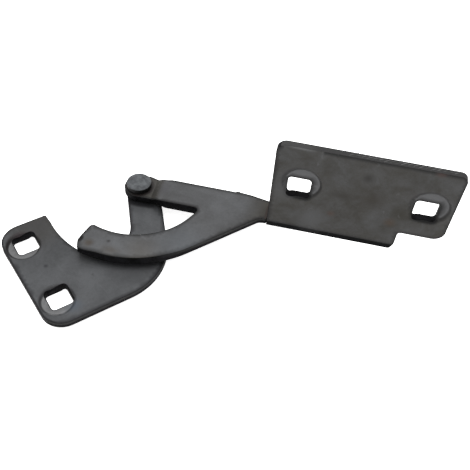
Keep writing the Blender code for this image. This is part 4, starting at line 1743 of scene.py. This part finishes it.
CUT_EDGE = CutFinish("blanked_edge", dark=(0.002, 0.002, 0.002), light=(0.006, 0.006, 0.007),
                     bright=(0.036, 0.036, 0.036))

SHORN_STEEL = CutFinish("shorn_steel", dark=(0.035, 0.035, 0.035), light=(0.080, 0.080, 0.081),
                        bright=(0.08, 0.08, 0.08), specular=0.1)

RIVET_SKIN = SheetFinish(
    "rivet_struck_steel", light=(0.060, 0.064, 0.068), dark=(0.034, 0.036, 0.039),
    # The edge tint is painted shade on the head's side wall.
    edge=(0.004, 0.004, 0.004), roughness=(0.46, 0.6), cloud_scale=190.0, speckle=0.8,
    stretch=(1.0, 1.0, 1.0))

WASHER_SKIN = SheetFinish(
    "washer_steel_skin", light=(0.065, 0.063, 0.061), dark=(0.043, 0.042, 0.040),
    edge=(0.014, 0.014, 0.014), roughness=(0.35, 0.5), cloud_scale=200.0, stretch=(1.0, 1.0, 1.0))


def hang_on(piece: Any, body: Body) -> None:
    """Let a small added piece ride on a body.

    Args:
        piece: The piece, in its place.
        body: The half of the hinge it moves with.
    """
    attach(piece, body.value)
    LOG.info("%s: %d faces, rides on %s", piece.name, len(piece.data.polygons), body.value)


def carry(piece: Any, body: Body, node: str) -> None:
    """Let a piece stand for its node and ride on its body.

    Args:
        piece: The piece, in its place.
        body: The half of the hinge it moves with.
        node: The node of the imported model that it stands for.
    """
    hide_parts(node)
    hang_on(piece, body)


def main() -> None:
    """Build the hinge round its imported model."""
    logging.basicConfig(level=logging.INFO, format="%(message)s")
    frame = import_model()
    pos = frame["joints"][0]["pos_m"]
    pivot = Vector((pos[0], pos[1], 0.0))
    Studio().set_up(pivot)
    groups = Groups()
    cut = CUT_EDGE.material(groups)
    bracket = BodyBracket("pressed_body_bracket", Body.BODY_SIDE, "bracket_steel")
    arm = HoodArm("pressed_hood_arm", Body.HOOD_SIDE, "arm_steel")
    rivet = PivotRivet("struck_pivot_rivet", Body.BODY_SIDE, "rivet_steel")
    washer = SpacerWasher("thin_spacer_washer", Body.BODY_SIDE, "washer_steel")
    bracket_piece = bracket.build({Slot.SHEET: BRACKET_SHEET.material(groups), Slot.CUT: cut}, pivot)
    carry(bracket_piece, bracket.body, "body_bracket")
    # The bend's faces take the arm's steel without its sheen, as painted shade.
    bend = replace(ARM_SHEET, name="arm_bend_painted_shade", metallic=0.0, specular=0.0).material(groups)
    arm_piece = arm.build({Slot.SHEET: ARM_SHEET.material(groups), Slot.CUT: cut, Slot.BEND: bend}, pivot)
    carry(arm_piece, arm.body, "hood_arm")
    for torn in TORN_METAL:
        hang_on(torn.build(SHORN_STEEL.material(groups), pivot), arm.body)
    carry(rivet.build(RIVET_SKIN.material(groups), pivot), rivet.body, "pivot_rivet")
    carry(washer.build(WASHER_SKIN.material(groups), pivot), washer.body, "spacer_washer")


if __name__ == "__main__":
    main()
